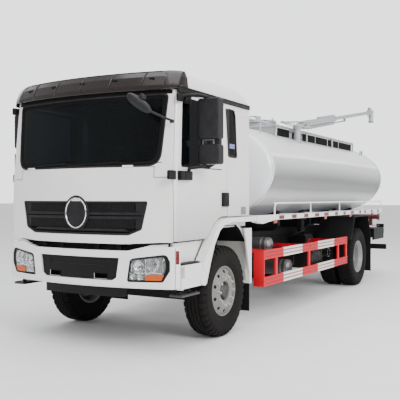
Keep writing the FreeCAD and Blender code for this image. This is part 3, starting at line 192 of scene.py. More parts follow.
def plastic(name, col, rough=0.55, grain=420.0, depth=0.0005, dust=0.18, coat=0.0):
    """Moulded plastic with a fine leather-like grain and some dust."""
    m, nt, bs = new_mat(name)
    v = coords(nt)
    vor = N(nt, "ShaderNodeTexVoronoi", feature="DISTANCE_TO_EDGE")
    vor.inputs["Scale"].default_value = grain
    nt.links.new(v, vor.inputs["Vector"])
    d = noise(nt, v, 9.0, 6.0, 0.6)
    c = mixc(nt, mul(nt, maprange(nt, d, 0.35, 0.75, 0.0, 1.0), dust), col, (0.30, 0.28, 0.26))
    nt.links.new(c, bs.inputs["Base Color"])
    nt.links.new(maprange(nt, d, 0.3, 0.7, rough - 0.06, rough + 0.12), bs.inputs["Roughness"])
    bs.inputs["Coat Weight"].default_value = coat
    bs.inputs["Specular IOR Level"].default_value = 0.18
    bump(nt, bs, vor.outputs["Distance"], 0.25, depth)
    return m


def rubber(name, col=(0.028, 0.026, 0.025), dust=0.30, dustc=(0.17, 0.15, 0.135), rough=0.82):
    m, nt, bs = new_mat(name)
    v = coords(nt)
    d = noise(nt, v, 7.0, 8.0, 0.7)
    f = noise(nt, v, 60.0, 5.0, 0.7)
    c = mixc(nt, mul(nt, maprange(nt, d, 0.3, 0.7, 0.25, 1.0), dust), col, dustc)
    c = mixc(nt, mul(nt, maprange(nt, f, 0.5, 0.75, 0.0, 1.0), 0.25), c, dustc)
    nt.links.new(c, bs.inputs["Base Color"])
    nt.links.new(maprange(nt, f, 0.3, 0.7, rough - 0.08, rough + 0.1), bs.inputs["Roughness"])
    bs.inputs["Specular IOR Level"].default_value = 0.15
    bump(nt, bs, noise(nt, v, 240.0, 4.0, 0.7), 0.3, 0.0006)
    return m


def metal(name, col=(0.72, 0.72, 0.73), rough=0.28, brush=None, dirt=0.12, dirtc=(0.25, 0.23, 0.21)):
    m, nt, bs = new_mat(name)
    v = coords(nt)
    st = brush or (1.0, 90.0, 90.0)
    b = noise(nt, v, 6.0, 6.0, 0.7, stretch=st)
    d = noise(nt, v, 5.0, 6.0, 0.65)
    c = mixc(nt, maprange(nt, b, 0.3, 0.7, 0.0, 1.0), tuple(x * 0.9 for x in col), col)
    c = mixc(nt, mul(nt, maprange(nt, d, 0.45, 0.75, 0.0, 1.0), dirt), c, dirtc)
    nt.links.new(c, bs.inputs["Base Color"])
    bs.inputs["Metallic"].default_value = 1.0
    nt.links.new(maprange(nt, b, 0.3, 0.7, max(0.04, rough - 0.07), rough + 0.1), bs.inputs["Roughness"])
    bump(nt, bs, b, 0.15, 0.0002)
    return m


def glassy(name, col, rough=0.04, trans=0.85, alpha=1.0, ior=1.45, tint_noise=0.0):
    m, nt, bs = new_mat(name)
    v = coords(nt)
    n = noise(nt, v, 3.0, 3.0)
    c = mixc(nt, maprange(nt, n, 0.3, 0.7, 0.0, 1.0), tuple(x * 0.92 for x in col), col)
    nt.links.new(c, bs.inputs["Base Color"])
    nt.links.new(maprange(nt, noise(nt, v, 14.0, 5.0), 0.4, 0.8, rough, rough + 0.05), bs.inputs["Roughness"])
    bs.inputs["Transmission Weight"].default_value = trans
    bs.inputs["IOR"].default_value = ior
    bs.inputs["Alpha"].default_value = alpha
    return m


def fabric(name, col, scale=600.0):
    m, nt, bs = new_mat(name)
    v = coords(nt)
    w = N(nt, "ShaderNodeTexWave", wave_type="BANDS", bands_direction="DIAGONAL")
    w.inputs["Scale"].default_value = scale / 6.0
    w.inputs["Distortion"].default_value = 1.5
    nt.links.new(v, w.inputs["Vector"])
    n = noise(nt, v, 40.0, 4.0)
    c = mixc(nt, w.outputs["Fac"], tuple(x * 0.75 for x in col), tuple(min(1, x * 1.2) for x in col))
    c = mixc(nt, mul(nt, n, 0.3), c, tuple(x * 0.6 for x in col))
    nt.links.new(c, bs.inputs["Base Color"])
    bs.inputs["Roughness"].default_value = 0.9
    bs.inputs["Sheen Weight"].default_value = 0.3
    bump(nt, bs, w.outputs["Fac"], 0.3, 0.0005)
    return m


M = {}
# side=0.85 paints shade, a painted reflection of the ground, onto the lower cab sides
M["cab"] = paint("cab_paint", (0.83, 0.805, 0.795), rough=0.26, coat=0.6, dirt_low=0.07, dirt_all=0.04, low_z=(0.5, 1.6), streak=0.02, side=0.85)
M["bumper"] = paint("bumper_paint", (0.84, 0.83, 0.825), rough=0.34, coat=0.35, dirt_low=0.10, dirt_all=0.06, low_z=(0.3, 1.2))
M["frame"] = paint("frame_black_paint", (0.0050, 0.0050, 0.0056), rough=0.50, coat=0.02, dirt_low=0.22, dirt_all=0.12, dirt=(0.020, 0.018, 0.017), low_z=(0.2, 1.1), spec=0.2)
M["tank"] = paint("tank_silver_white", (0.76, 0.77, 0.79), rough=0.24, coat=0.7, dirt_low=0.0, dirt_all=0.05, metal=0.72, streak=0.10, dirt=(0.48, 0.48, 0.49))
M["rim_band"] = paint("tank_rim_band", (0.86, 0.87, 0.88), rough=0.24, coat=0.6, dirt_low=0.0, dirt_all=0.04, metal=0.2)
M["head"] = paint("tank_head_paint", (0.80, 0.83, 0.85), rough=0.30, coat=0.5, dirt_low=0.0, dirt_all=0.05, metal=0.05)
M["trim"] = paint("trim_white_paint", (0.84, 0.84, 0.83), rough=0.38, coat=0.25, dirt_low=0.10, dirt_all=0.10)
M["red"] = paint("guard_red_paint", (0.60, 0.0, 0.012), rough=0.42, coat=0.05, dirt_low=0.10, dirt_all=0.05, dirt=(0.22, 0.02, 0.02), spec=0.2)
M["redwhite"] = M["red"]
M["grille"] = plastic("grille_dark_plastic", (0.012, 0.0112, 0.013), rough=0.45, dust=0.03)
M["black"] = plastic("black_plastic", (0.0045, 0.0045, 0.005), rough=0.45, dust=0.012)
M["mirror_case"] = plastic("mirror_housing", (0.016, 0.0155, 0.0175), rough=0.36, dust=0.03)
M["visor"] = paint("smoked_visor", (0.015, 0.0112, 0.0098), rough=0.20, coat=0.45, dirt_low=0.0, dirt_all=0.08, dirt=(0.06, 0.05, 0.045), peel=0.0, spec=0.25)
M["glass"] = glassy("window_glass", (0.045, 0.055, 0.062), rough=0.0, trans=0.94, ior=1.22)
M["lens"] = glassy("clear_lens", (0.95, 0.96, 0.97), rough=0.03, trans=0.95)
M["lens_red"] = paint("red_reflector", (0.13, 0.004, 0.008), rough=0.25, coat=0.3, dirt_low=0.1, dirt_all=0.05, dirt=(0.15, 0.02, 0.02), spec=0.3)
M["lens_amber"] = paint("amber_lens", (0.50, 0.065, 0.0), rough=0.2, coat=0.3, dirt_low=0.03, dirt_all=0.04, dirt=(0.3, 0.06, 0.01), spec=0.3)
M["mirror"] = metal("mirror_silvering", (0.88, 0.89, 0.90), rough=0.06, dirt=0.03)
M["steel"] = metal("zinc_steel", (0.55, 0.55, 0.56), rough=0.36)
M["alu"] = metal("brushed_aluminium", (0.78, 0.78, 0.79), rough=0.26)
M["chrome"] = metal("bright_chrome", (0.86, 0.87, 0.88), rough=0.08, dirt=0.04)
M["alu_dark"] = metal("dull_tank_metal", (0.26, 0.26, 0.265), rough=0.42)
M["dark_steel"] = metal("dark_steel", (0.11, 0.105, 0.105), rough=0.5, dirt=0.35, dirtc=(0.04, 0.035, 0.03))
M["iron"] = metal("cast_iron", (0.06, 0.058, 0.055), rough=0.62, dirt=0.4, dirtc=(0.03, 0.026, 0.022))
M["tyre"] = rubber("tyre_rubber", (0.0055, 0.0050, 0.0048), dust=0.32, dustc=(0.019, 0.0165, 0.0155))
M["rubber"] = rubber("flap_rubber", (0.0045, 0.0045, 0.005), dust=0.15, dustc=(0.018, 0.017, 0.016))
M["seal"] = rubber("door_seal", (0.012, 0.012, 0.013), dust=0.10)
M["rim"] = paint("rim_paint", (0.175, 0.168, 0.152), rough=0.42, coat=0.15, dirt_low=0.12, dirt_all=0.30, dirt=(0.13, 0.115, 0.10), low_z=(0.0, 0.9))
M["rim_rear"] = paint("rear_rim_paint", (0.24, 0.24, 0.245), rough=0.4, coat=0.15, dirt_low=0.10, dirt_all=0.25, dirt=(0.09, 0.08, 0.07), low_z=(0.0, 0.9))
# grey of the mirror link bars, also painted shade in the hollows of the white guard rails
M["groove_shade_and_bar_grey"] = paint("groove_shade_and_bar_grey", (0.20, 0.21, 0.20), rough=0.5, coat=0.0, dirt_low=0.1, dirt_all=0.2)
M["vent_grey"] = plastic("vent_grey_plastic", (0.22, 0.22, 0.215), rough=0.5, dust=0.05)
M["violet_strip"] = plastic("strip_violet", (0.20, 0.19, 0.42), rough=0.5, dust=0.03)
M["tank_grey"] = paint("air_tank_grey", (0.035, 0.035, 0.036), rough=0.42, coat=0.1, dirt_low=0.2, dirt_all=0.2, dirt=(0.06, 0.055, 0.05), low_z=(0.3, 1.2), spec=0.3)
M["guard_inner"] = paint("guard_inner_grey", (0.46, 0.455, 0.42), rough=0.5, coat=0.0, dirt_low=0.25, dirt_all=0.15)
M["boom"] = paint("boom_paint", (0.40, 0.42, 0.43), rough=0.32, coat=0.3, dirt_low=0.0, dirt_all=0.15, metal=0.15, dirt=(0.25, 0.25, 0.26))
M["hub"] = paint("hub_dark_paint", (0.008, 0.008, 0.008), rough=0.5, coat=0.0, dirt_low=0.2, dirt_all=0.2, dirt=(0.03, 0.025, 0.022), spec=0.25)
M["seat"] = fabric("seat_cloth", (0.035, 0.035, 0.042))
M["dash"] = plastic("dash_plastic", (0.03, 0.028, 0.027), rough=0.6, dust=0.05)
M["liner"] = plastic("cab_lining_and_shade", (0.045, 0.042, 0.040), rough=0.8, dust=0.05)
M["paper"] = plastic("paper_white", (0.75, 0.74, 0.70), rough=0.8, grain=900.0, dust=0.05)
M["tape_white"] = paint("reflector_white", (0.86, 0.86, 0.84), rough=0.3, coat=0.5, dirt_low=0.1, dirt_all=0.05)
M["brown"] = paint("box_red_brown", (0.13, 0.018, 0.016), rough=0.5, coat=0.1, dirt_low=0.1, dirt_all=0.15)


def tank_skin():
    """Silver-white sprayed skin with painted reflections and shade: broad bands over its height, dark at the bottom,
    two bright streaks and a lighter crown, plus faint rolling marks.
    """
    m, nt, bs = new_mat("tank_skin_painted_reflections")
    v = coords(nt)
    z = zsplit(nt, v)[2]
    wav = noise(nt, v, 0.8, 3.0, 0.5, stretch=(1.0, 0.25, 3.0))
    s_ = N(nt, "ShaderNodeMath", operation="ADD")
    nt.links.new(z, s_.inputs[0])
    nt.links.new(maprange(nt, wav, 0.3, 0.7, -0.035, 0.035), s_.inputs[1])
    t = maprange(nt, s_.outputs[0], 1.32, 2.76, 0.0, 1.0)
    # painted reflections and shade: dark blue-grey low down, a bright streak near z 1.56 m, a dark mid band, a bright
    # streak near z 2.27 m, lighter towards the crown
    c = ramp(nt, t, [(0.0, (0.26, 0.28, 0.30)), (0.09, (0.33, 0.35, 0.375)), (0.13, (0.41, 0.43, 0.45)), (0.165, (0.84, 0.85, 0.87)), (0.225, (0.74, 0.745, 0.75)), (0.31, (0.21, 0.215, 0.21)), (0.41, (0.17, 0.175, 0.17)),
                     (0.49, (0.30, 0.305, 0.31)), (0.57, (0.46, 0.47, 0.485)), (0.635, (0.56, 0.565, 0.58)), (0.66, (0.95, 0.95, 0.96)), (0.70, (0.74, 0.74, 0.76)), (0.84, (0.68, 0.68, 0.69)), (1.0, (0.56, 0.56, 0.57))])
    d = noise(nt, v, 3.0, 4.0, 0.55, stretch=(1.0, 0.12, 1.0))
    c = mixc(nt, mul(nt, maprange(nt, d, 0.40, 0.70, 0.0, 1.0), 0.18), c, (0.46, 0.47, 0.48))
    nt.links.new(c, bs.inputs["Base Color"])
    bs.inputs["Metallic"].default_value = 0.12
    nt.links.new(maprange(nt, d, 0.3, 0.7, 0.34, 0.40), bs.inputs["Roughness"])
    bs.inputs["Coat Weight"].default_value = 0.15
    bs.inputs["Coat Roughness"].default_value = 0.16
    return m


M["tank_skin"] = tank_skin()
# near-black for the printed windscreen band and dark seams, and as painted shadow: dark sheets in the grilles, the
# bumper gap, hand holes, the walkway gap and the wheel arches
M["dark"] = plastic("black_print_and_painted_shadow", (0.004, 0.004, 0.0045), rough=0.8, dust=0.0)


# =====================================================================
# mesh builder: many small solids in one piece, in vehicle millimetres
# =====================================================================
class B:
    def __init__(self, name, mat, body, slot=None):
        self.name, self.mat, self.body, self.slot = name, mat, body, slot
        self.v, self.f = [], []

    def add(self, verts, faces):
        o = len(self.v)
        self.v += [tuple(p) for p in verts]
        self.f += [tuple(i + o for i in f) for f in faces]
        return self

    def from_bm(self, bm):
        bm.verts.index_update()
        self.add([v.co[:] for v in bm.verts], [[v.index for v in f.verts] for f in bm.faces])
        bm.free()
        return self

    def box(self, x0, x1, y0, y1, z0, z1, c=1.5, seg=2, rot=None, at=None):
        """Box with rounded edges. rot is a Matrix about at or the middle."""
        bm = bmesh.new()
        bmesh.ops.create_cube(bm, size=1.0)
        for v in bm.verts:
            v.co = Vector(((x0 + x1) / 2 + v.co.x * (x1 - x0), (y0 + y1) / 2 + v.co.y * (y1 - y0), (z0 + z1) / 2 + v.co.z * (z1 - z0)))
        c = min(c, 0.45 * min(abs(x1 - x0), abs(y1 - y0), abs(z1 - z0)))
        if c > 0:
            bmesh.ops.bevel(bm, geom=list(bm.edges), offset=c, segments=seg, affect="EDGES", profile=0.5)
        if rot is not None:
            a = Vector(at) if at is not None else Vector(((x0 + x1) / 2, (y0 + y1) / 2, (z0 + z1) / 2))
            for v in bm.verts:
                v.co = rot @ (v.co - a) + a
        return self.from_bm(bm)

    def prism(self, pts, plane, a0, a1, c=1.5, seg=2):
        """Extruded polygon in plane 'yz', 'xz' or 'xy' from a0 to a1 along the third axis."""
        def at(u, w, a):
            return {"yz": (a, u, w), "xz": (u, a, w), "xy": (u, w, a)}[plane]
        bm = bmesh.new()
        lo = [bm.verts.new(at(u, w, a0)) for u, w in pts]
        hi = [bm.verts.new(at(u, w, a1)) for u, w in pts]
        n = len(pts)
        bm.faces.new(lo)
        bm.faces.new(hi[::-1])
        for i in range(n):
            bm.faces.new((lo[i], hi[i], hi[(i + 1) % n], lo[(i + 1) % n]))
        bmesh.ops.recalc_face_normals(bm, faces=bm.faces)
        if c > 0:
            ed = [e for e in bm.edges if e.calc_face_angle(0.0) > 0.6]
            bmesh.ops.bevel(bm, geom=ed, offset=c, segments=seg, affect="EDGES", profile=0.5)
        return self.from_bm(bm)

    def lathe(self, p, axis, profile, seg=32, a0=0.0, a1=360.0):
        """profile: (radius, height along axis) points, from p. Closed on the axis where radius is 0."""
        p, ax = Vector(p), Vector(axis).normalized()
        u = ax.orthogonal().normalized()
        w = ax.cross(u)
        full = abs(a1 - a0 - 360.0) < 1e-6
        n = seg if full else seg + 1
        rings = []
        verts, faces = [], []
        for r, h in profile:
            if r <= 1e-6:
                rings.append([len(verts)])
                verts.append(p + ax * h)
            else:
                ring = []
                for i in range(n):
                    a = math.radians(a0 + (a1 - a0) * i / seg)
                    ring.append(len(verts))
                    verts.append(p + ax * h + (u * math.cos(a) + w * math.sin(a)) * r)
                rings.append(ring)
        for A, C in zip(rings, rings[1:]):
            m = seg
            for i in range(m):
                j = (i + 1) % n if full else i + 1
                if len(A) == 1 and len(C) == 1:
                    continue
                if len(A) == 1:
                    faces.append((A[0], C[i], C[j]))
                elif len(C) == 1:
                    faces.append((A[i], C[0], A[j]))
                else:
                    faces.append((A[i], C[i], C[j], A[j]))
        return self.add(verts, faces)

    def cyl(self, p, q, r, seg=24, c=1.0, r2=None):
        p, q = Vector(p), Vector(q)
        h = (q - p).length
        r2 = r if r2 is None else r2
        c = min(c, 0.4 * h, 0.4 * min(r, r2))
        return self.lathe(p, q - p, [(0, 0), (r - c, 0), (r, c), (r2, h - c), (r2 - c, h), (0, h)], seg)

    def ring(self, p, axis, r, ri, h, seg=32, c=1.0):
        c = min(c, 0.4 * h, 0.3 * (r - ri))
        pr = [(ri, c), (ri + c, 0), (r - c, 0), (r, c), (r, h - c), (r - c, h), (ri + c, h), (ri, h - c), (ri, c)]
        return self.lathe(p, axis, pr, seg)

    def torus(self, p, axis, R, r, seg=32, sec=10, a0=0.0, a1=360.0):
        pr = [(R + r * math.cos(2 * math.pi * i / sec), r * math.sin(2 * math.pi * i / sec)) for i in range(sec + 1)]
        return self.lathe(p, axis, pr, seg, a0, a1)

    def hexbolt(self, p, axis, r, h, washer=0.0, wh=2.0):
        ax = Vector(axis).normalized()
        p = Vector(p)
        if washer:
            self.cyl(p, p + ax * wh, washer, 16, 0.5)
            p = p + ax * wh
        return self.lathe(p, ax, [(0, 0), (r, 0), (r, h * 0.8), (r * 0.86, h), (0, h)], 6)

    def sphere(self, p, r, seg=16, rings=10, sx=1.0, sy=1.0, sz=1.0):
        bm = bmesh.new()
        bmesh.ops.create_uvsphere(bm, u_segments=seg, v_segments=rings, radius=1.0)
        for v in bm.verts:
            v.co = Vector((p[0] + v.co.x * r * sx, p[1] + v.co.y * r * sy, p[2] + v.co.z * r * sz))
        return self.from_bm(bm)

    def tube(self, pts, r, seg=10, smooth=0, closed=False, flat=None):
        """Round bar through points. smooth > 0 rounds the inner corners with that radius."""
        pts = [Vector(p) for p in pts]
        if smooth and len(pts) > 2:
            out = [pts[0]]
            for i in range(1, len(pts) - 1):
                a, b, c = pts[i - 1], pts[i], pts[i + 1]
                u, w = (a - b), (c - b)
                d = min(smooth, 0.48 * u.length, 0.48 * w.length)
                s, e = b + u.normalized() * d, b + w.normalized() * d
                for k in range(7):
                    t = k / 6.0
                    out.append(s * (1 - t) ** 2 + b * 2 * t * (1 - t) + e * t * t)
            out.append(pts[-1])
            pts = out
        verts, faces = [], []
        n = len(pts)
        t0 = (pts[1] - pts[0]).normalized()
        u = t0.orthogonal().normalized()
        prev = t0
        rings = []
        for i, p in enumerate(pts):
            if i == 0:
                t = t0
            elif i == n - 1:
                t = (pts[-1] - pts[-2]).normalized()
            else:
                t = ((pts[i + 1] - p).normalized() + (p - pts[i - 1]).normalized()).normalized()
            q = prev.rotation_difference(t)
            u = (q @ u).normalized()
            prev = t
            w = t.cross(u)
            ring = []
            for k in range(seg):
                a = 2 * math.pi * k / seg
                ring.append(len(verts))
                verts.append(p + (u * math.cos(a) + w * math.sin(a)) * r)
            rings.append(ring)
        for A, C in zip(rings, rings[1:]):
            for k in range(seg):
                j = (k + 1) % seg
                faces.append((A[k], C[k], C[j], A[j]))
        faces.append(tuple(rings[0][::-1]))
        faces.append(tuple(rings[-1]))
        return self.add(verts, faces)

    def grid(self, rows, closed_u=False):
        """Surface through rows of points."""
        verts, faces = [], []
        m = len(rows[0])
        for r in rows:
            verts += [Vector(p) for p in r]
        for i in range(len(rows) - 1):
            for j in range(m if closed_u else m - 1):
                k = (j + 1) % m
                faces.append((i * m + j, i * m + k, (i + 1) * m + k, (i + 1) * m + j))
        return self.add(verts, faces)

    def mirror(self):
        """Adds the mirror image on the other side."""
        n = len(self.v)
        self.v += [(-x, y, z) for x, y, z in self.v[:n]]
        self.f += [tuple(i + n for i in f[::-1]) for f in list(self.f)]
        return self

    def done(self, angle=38.0, solid=0.0, bevel=0.0, recalc=True, subsurf=0):
        me = bpy.data.meshes.new(self.name)
        me.from_pydata([P(*p) for p in self.v], [], self.f)
        me.validate()
        if recalc:
            bm = bmesh.new()
            bm.from_mesh(me)
            bmesh.ops.recalc_face_normals(bm, faces=bm.faces)
            bm.to_mesh(me)
            bm.free()
        me.polygons.foreach_set("use_smooth", [True] * len(me.polygons))
        me.set_sharp_from_angle(angle=math.radians(angle))
        ob = bpy.data.objects.new(self.name, me)
        bpy.context.scene.collection.objects.link(ob)
        me.materials.append(self.mat)
        if solid:
            md = ob.modifiers.new("thickness", "SOLIDIFY")
            md.thickness = solid / 1000.0
            md.offset = -1.0
        if subsurf:
            md = ob.modifiers.new("round", "SUBSURF")
            md.levels = md.render_levels = subsurf
        if bevel:
            md = ob.modifiers.new("edge", "BEVEL")
            md.width = bevel / 1000.0
            md.segments = 2
            md.limit_method = "ANGLE"
        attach(ob, self.body)
        return ob


def cad(node, mat, *more):
    """Gives a CAD node its material."""
    ob = nodes[node]
    me = ob.data
    me.materials.clear()
    me.materials.append(mat)
    for m in more:
        me.materials.append(m)
    return ob

# =====================================================================
# CAD nodes take their materials
# =====================================================================
for n in ("cab_shell", "front_flap", "door_left", "door_right"):
    cad(n, M["cab"])
for n in ("front_bumper", "step_boxes", "front_mudguards"):
    cad(n, M["bumper"])
cad("grille", M["grille"])
cad("lower_grille", M["black"])
for n in ("step_treads", "steering_wheel"):
    cad(n, M["black"])
for n in ("mirror_left", "mirror_right", "front_mirror"):
    cad(n, M["mirror_case"])
cad("sun_visor", M["visor"])
cad("dashboard", M["dash"])
cad("headlamps", M["lens"])
for n in ("cab_glazing", "door_glass_left", "door_glass_right"):
    cad(n, M["glass"])
cad("seats", M["seat"])
for n in ("chassis_frame", "propshaft", "front_axle_beam", "leaf_springs", "rear_axle", "knuckle_left", "knuckle_right", "tie_rod", "rear_mudguards", "tail_lamps", "underrun_bars", "battery_box", "discharge_pump"):
    cad(n, M["frame"])
cad("engine_block", M["iron"])
cad("rear_cabinet", M["brown"])
cad("tank_saddles", M["frame"])
cad("tank_shell", M["tank_skin"])
for n in ("manhole_neck", "manhole_lid", "boom_pillar", "boom_turret", "boom_base", "boom_extension"):
    cad(n, M["boom"])
cad("top_walkway", M["boom"])
for n in ("rear_ladder", "side_catwalks"):
    cad(n, M["trim"])
cad("side_guards", M["red"])
cad("fuel_tank", M["alu"])
cad("air_tanks", M["tank_grey"])
cad("gravity_outlet", M["brown"])
for n in ("tyre_front_left", "tyre_front_right", "tyre_rear_left", "tyre_rear_right"):
    cad(n, M["tyre"])
cad("mudflaps", M["rubber"])
for n in ("rim_front_left", "rim_front_right"):
    cad(n, M["rim"])
for n in ("rim_rear_left", "rim_rear_right"):
    cad(n, M["rim_rear"])

# =====================================================================
# cab form, repeated from the model so that trim follows its surface
# =====================================================================
SECT = [(1150, 0), (1600, 3), (1860, 14), (2010, 30), (2400, 68), (2795, 112)]


def lerp(tab, z):
    if z <= tab[0][0]:
        return tab[0][1]
    for (a, u), (b, w_) in zip(tab, tab[1:]):
        if z <= b:
            return u + (w_ - u) * (z - a) / (b - a)
    return tab[-1][1]


def yf(x, z, base=None):
    """Y of the cab's front face."""
    d_ = lerp(SECT, z) if base is None else base
    return 3804.0 - math.sqrt(3804.0 ** 2 - min(abs(x), 1140.0) ** 2) + d_


def strip(b, pts, z_or_none, r, out=0.0, base=None, seg=8):
    """Round bead over the front surface through (x, z) points."""
    b.tube([(x, yf(x, z, base) - out, z) for x, z in pts], r, seg)


def fine(pts, n=12, closed=False):
    """Points along a polyline, divided so that it can follow a curved face."""
    out = []
    src = pts + [pts[0]] if closed else pts
    for (x0, z0), (x1, z1) in zip(src, src[1:]):
        for k in range(n):
            t = k / n
            out.append((x0 + (x1 - x0) * t, z0 + (z1 - z0) * t))
    out.append(src[-1])
    return out


def band(b, lo, hi, d0, d1, base=None):
    """Closed strip on the front face between two (x, z) edges with the same number of points; d0, d1 are insets of its faces."""
    n = len(lo)
    vs, fs = [], []
    for e in (lo, hi):
        for x, z in e:
            y = yf(x, z, base)
            vs.append((x, y + d0, z))
            vs.append((x, y + d1, z))
    for i in range(n - 1):
        a, c = 2 * i, 2 * n + 2 * i
        fs += [(a, a + 2, c + 2, c), (a + 1, c + 1, c + 3, a + 3), (a, a + 1, a + 3, a + 2), (c, c + 2, c + 3, c + 1)]
    fs += [(0, 2 * n, 2 * n + 1, 1), (2 * n - 2, 2 * n - 1, 4 * n - 1, 4 * n - 2)]
    return b.add(vs, fs)


# ---------------------------------------------------------------------
# upper grille: frame, two bars, two bands of open diamond mesh, and a dark sheet behind them that is partly the dark
# inside of the grille and partly painted shade
# ---------------------------------------------------------------------
G_OUT = [(-876, 1608), (876, 1608), (808, 1312), (659, 1252), (-659, 1252), (-808, 1312)]
G_IN = [(-846, 1590), (846, 1590), (783, 1322), (652, 1272), (-652, 1272), (-783, 1322)]
gb = B("grille_frame", M["grille"], "front_panel", "black_plastic")
for i in range(6):
    j = (i + 1) % 6
    lo = fine([G_OUT[i], G_OUT[j]], 14)
    hi = fine([G_IN[i], G_IN[j]], 14)
    band(gb, lo, hi, 3.0, 30.0)
# full-width bars with their bevelled light edges
for z0, z1, d0 in ((1462, 1494, 4.0), (1418, 1452, 7.0)):
    e0 = 846 - (1590 - z0) * 63 / 268.0
    e1 = 846 - (1590 - z1) * 63 / 268.0
    band(gb, fine([(-e0, z0), (e0, z0)], 40), fine([(-e1, z1), (e1, z1)], 40), d0, 28.0)
band(gb, fine([(-668, 1290), (668, 1290)], 30), fine([(-604, 1318), (604, 1318)], 30), 5.0, 26.0)
# side cheeks beside the mesh
for s in (-1, 1):
    for za, zb in ((1494, 1590), (1322, 1418)):
        ea = (846 - (1590 - za) * 63 / 268.0) * s
        eb = (846 - (1590 - zb) * 63 / 268.0) * s
        band(gb, fine([(s * 738, za), (ea, za)], 6), fine([(s * 738, zb), (eb, zb)], 6), 9.0, 26.0)
gb.done(bevel=2.0)
# painted shade: a near-black sheet just behind the mesh stands partly for the dark parts behind the grille and partly
# for the shade there
gk = B("grille_shade_sheet", M["dark"], "front_panel", "black_plastic")
band(gk, fine([(-800, 1262), (800, 1262)], 40), fine([(-862, 1600), (862, 1600)], 40), 29.0, 33.0)
gk_ob = gk.done()
gm = B("grille_mesh", M["grille"], "front_panel", "black_plastic")
for za, zb in ((1496, 1588), (1324, 1416)):
    rows = 4
    dz = (zb - za) / rows
    nx = 44
    dx = 2 * 738.0 / nx
    r = 3.4
    for k in range(-rows, nx + 1):
        # two families of slanted bars, cut off at the band's ends
        for s in (-1, 1):
            x0 = -738.0 + k * dx
            p, q = [], []
            pts = []
            for t in range(rows * 2 + 1):
                zz = za + (zb - za) * t / (rows * 2)
                xx = x0 + (t / 2.0) * dx if s > 0 else x0 + (rows - t / 2.0) * dx
                if -738.0 <= xx <= 738.0:
                    pts.append((xx, yf(xx, zz) + 15.0, zz))
            if len(pts) > 1:
                gm.tube(pts, r, 4)
gm_ob = gm.done(angle=60)
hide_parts("grille")

# plain blank oval badge in the middle of the grille
bd = B("grille_badge_plate", M["grille"], "front_panel", "black_plastic")
n = 56


def oval(rx, rz, d, cz=1483.0):
    return [(rx * math.cos(2 * math.pi * i / n), yf(0, cz + rz * math.sin(2 * math.pi * i / n), None) * 1.0 + d + (rx * math.cos(2 * math.pi * i / n)) ** 2 / 7608.0, cz + rz * math.sin(2 * math.pi * i / n)) for i in range(n)]


bd.grid([oval(171, 191, 26), oval(171, 191, -4), oval(166, 186, -9), oval(146, 166, -9), oval(143, 163, -6), oval(138, 158, 2), oval(60, 70, 3), oval(1, 1, 3)], True)
bd.done(angle=30)
br = B("grille_badge_ring", M["chrome"], "front_panel", "black_plastic")
br.grid([oval(149, 169, -8), oval(148, 168, -14), oval(143, 163, -17), oval(137, 157, -15), oval(134, 154, -8), oval(133, 153, 0), oval(149, 169, 0), oval(149, 169, -8)], True)
br.done(angle=50)

# ---------------------------------------------------------------------
# front panel: crease lines, two small caps under the windscreen
# ---------------------------------------------------------------------
cr = B("panel_crease_beads", M["cab"], "front_panel", "cab_white")
for s in (-1, 1):
    cr.tube([(x, yf(x, z) + 1.2, z) for x, z in fine([(s * 560, 1666), (s * 770, 1668), (s * 842, 1652), (s * 872, 1630)], 6)], 3.2, 8)
cr.done()
cp = B("panel_pull_caps", M["cab"], "cab", "cab_white")
for xc in (-745, 640):
    cp.box(xc - 62, xc + 62, yf(xc, 1990) - 16, yf(xc, 1990) + 20, 1968, 1992, 6, 3, Matrix.Rotation(math.atan2(xc, 3600.0), 3, "Z"))
cp.done(angle=50)

# ---------------------------------------------------------------------
# windscreen surround: black printed band, rubber seal, header under the visor
# ---------------------------------------------------------------------
WS_O = [(-1040, 2735), (-1012, 2300), (-990, 1985), (990, 1985), (1012, 2300), (1040, 2735)]


def round_loop(pts, radii, k=6):
    out = []
    m = len(pts)
    for i in range(m):
        a, b_, c = Vector(pts[i - 1]), Vector(pts[i]), Vector(pts[(i + 1) % m])
        u, w_ = (a - b_), (c - b_)
        d_ = min(radii[i], 0.45 * u.length, 0.45 * w_.length)
        s, e = b_ + u.normalized() * d_, b_ + w_.normalized() * d_
        for t in range(k + 1):
            f_ = t / k
            out.append(tuple(s * (1 - f_) ** 2 + b_ * 2 * f_ * (1 - f_) + e * f_ * f_))
    return out


WS_C = round_loop([(-1040, 2735), (-1012, 2300), (-990, 1985), (990, 1985), (1012, 2300), (1040, 2735)], [55, 380, 150, 150, 380, 55], 7)


def inset_loop(loop, dx, dz, cz=2360.0, hx=1020.0, hz=375.0):
    return [(x * (1 - dx / hx), cz + (z - cz) * (1 - dz / hz)) for x, z in loop]


def loop_band(b, A, C, d0, d1, div=5):
    A2, C2 = [], []
    m = len(A)
    for i in range(m):
        j = (i + 1) % m
        L_ = math.hypot(A[j][0] - A[i][0], A[j][1] - A[i][1])
        k = max(1, int(L_ / 60))
        for t in range(k):
            f_ = t / k
            A2.append((A[i][0] + (A[j][0] - A[i][0]) * f_, A[i][1] + (A[j][1] - A[i][1]) * f_))
            C2.append((C[i][0] + (C[j][0] - C[i][0]) * f_, C[i][1] + (C[j][1] - C[i][1]) * f_))
    rows = []
    rows.append([(x, yf(x, z) + d0, z) for x, z in A2])
    rows.append([(x, yf(x, z) + d0, z) for x, z in C2])
    rows.append([(x, yf(x, z) + d1, z) for x, z in C2])
    rows.append([(x, yf(x, z) + d1, z) for x, z in A2])
    rows.append(rows[0])
    return b.grid(rows, True)


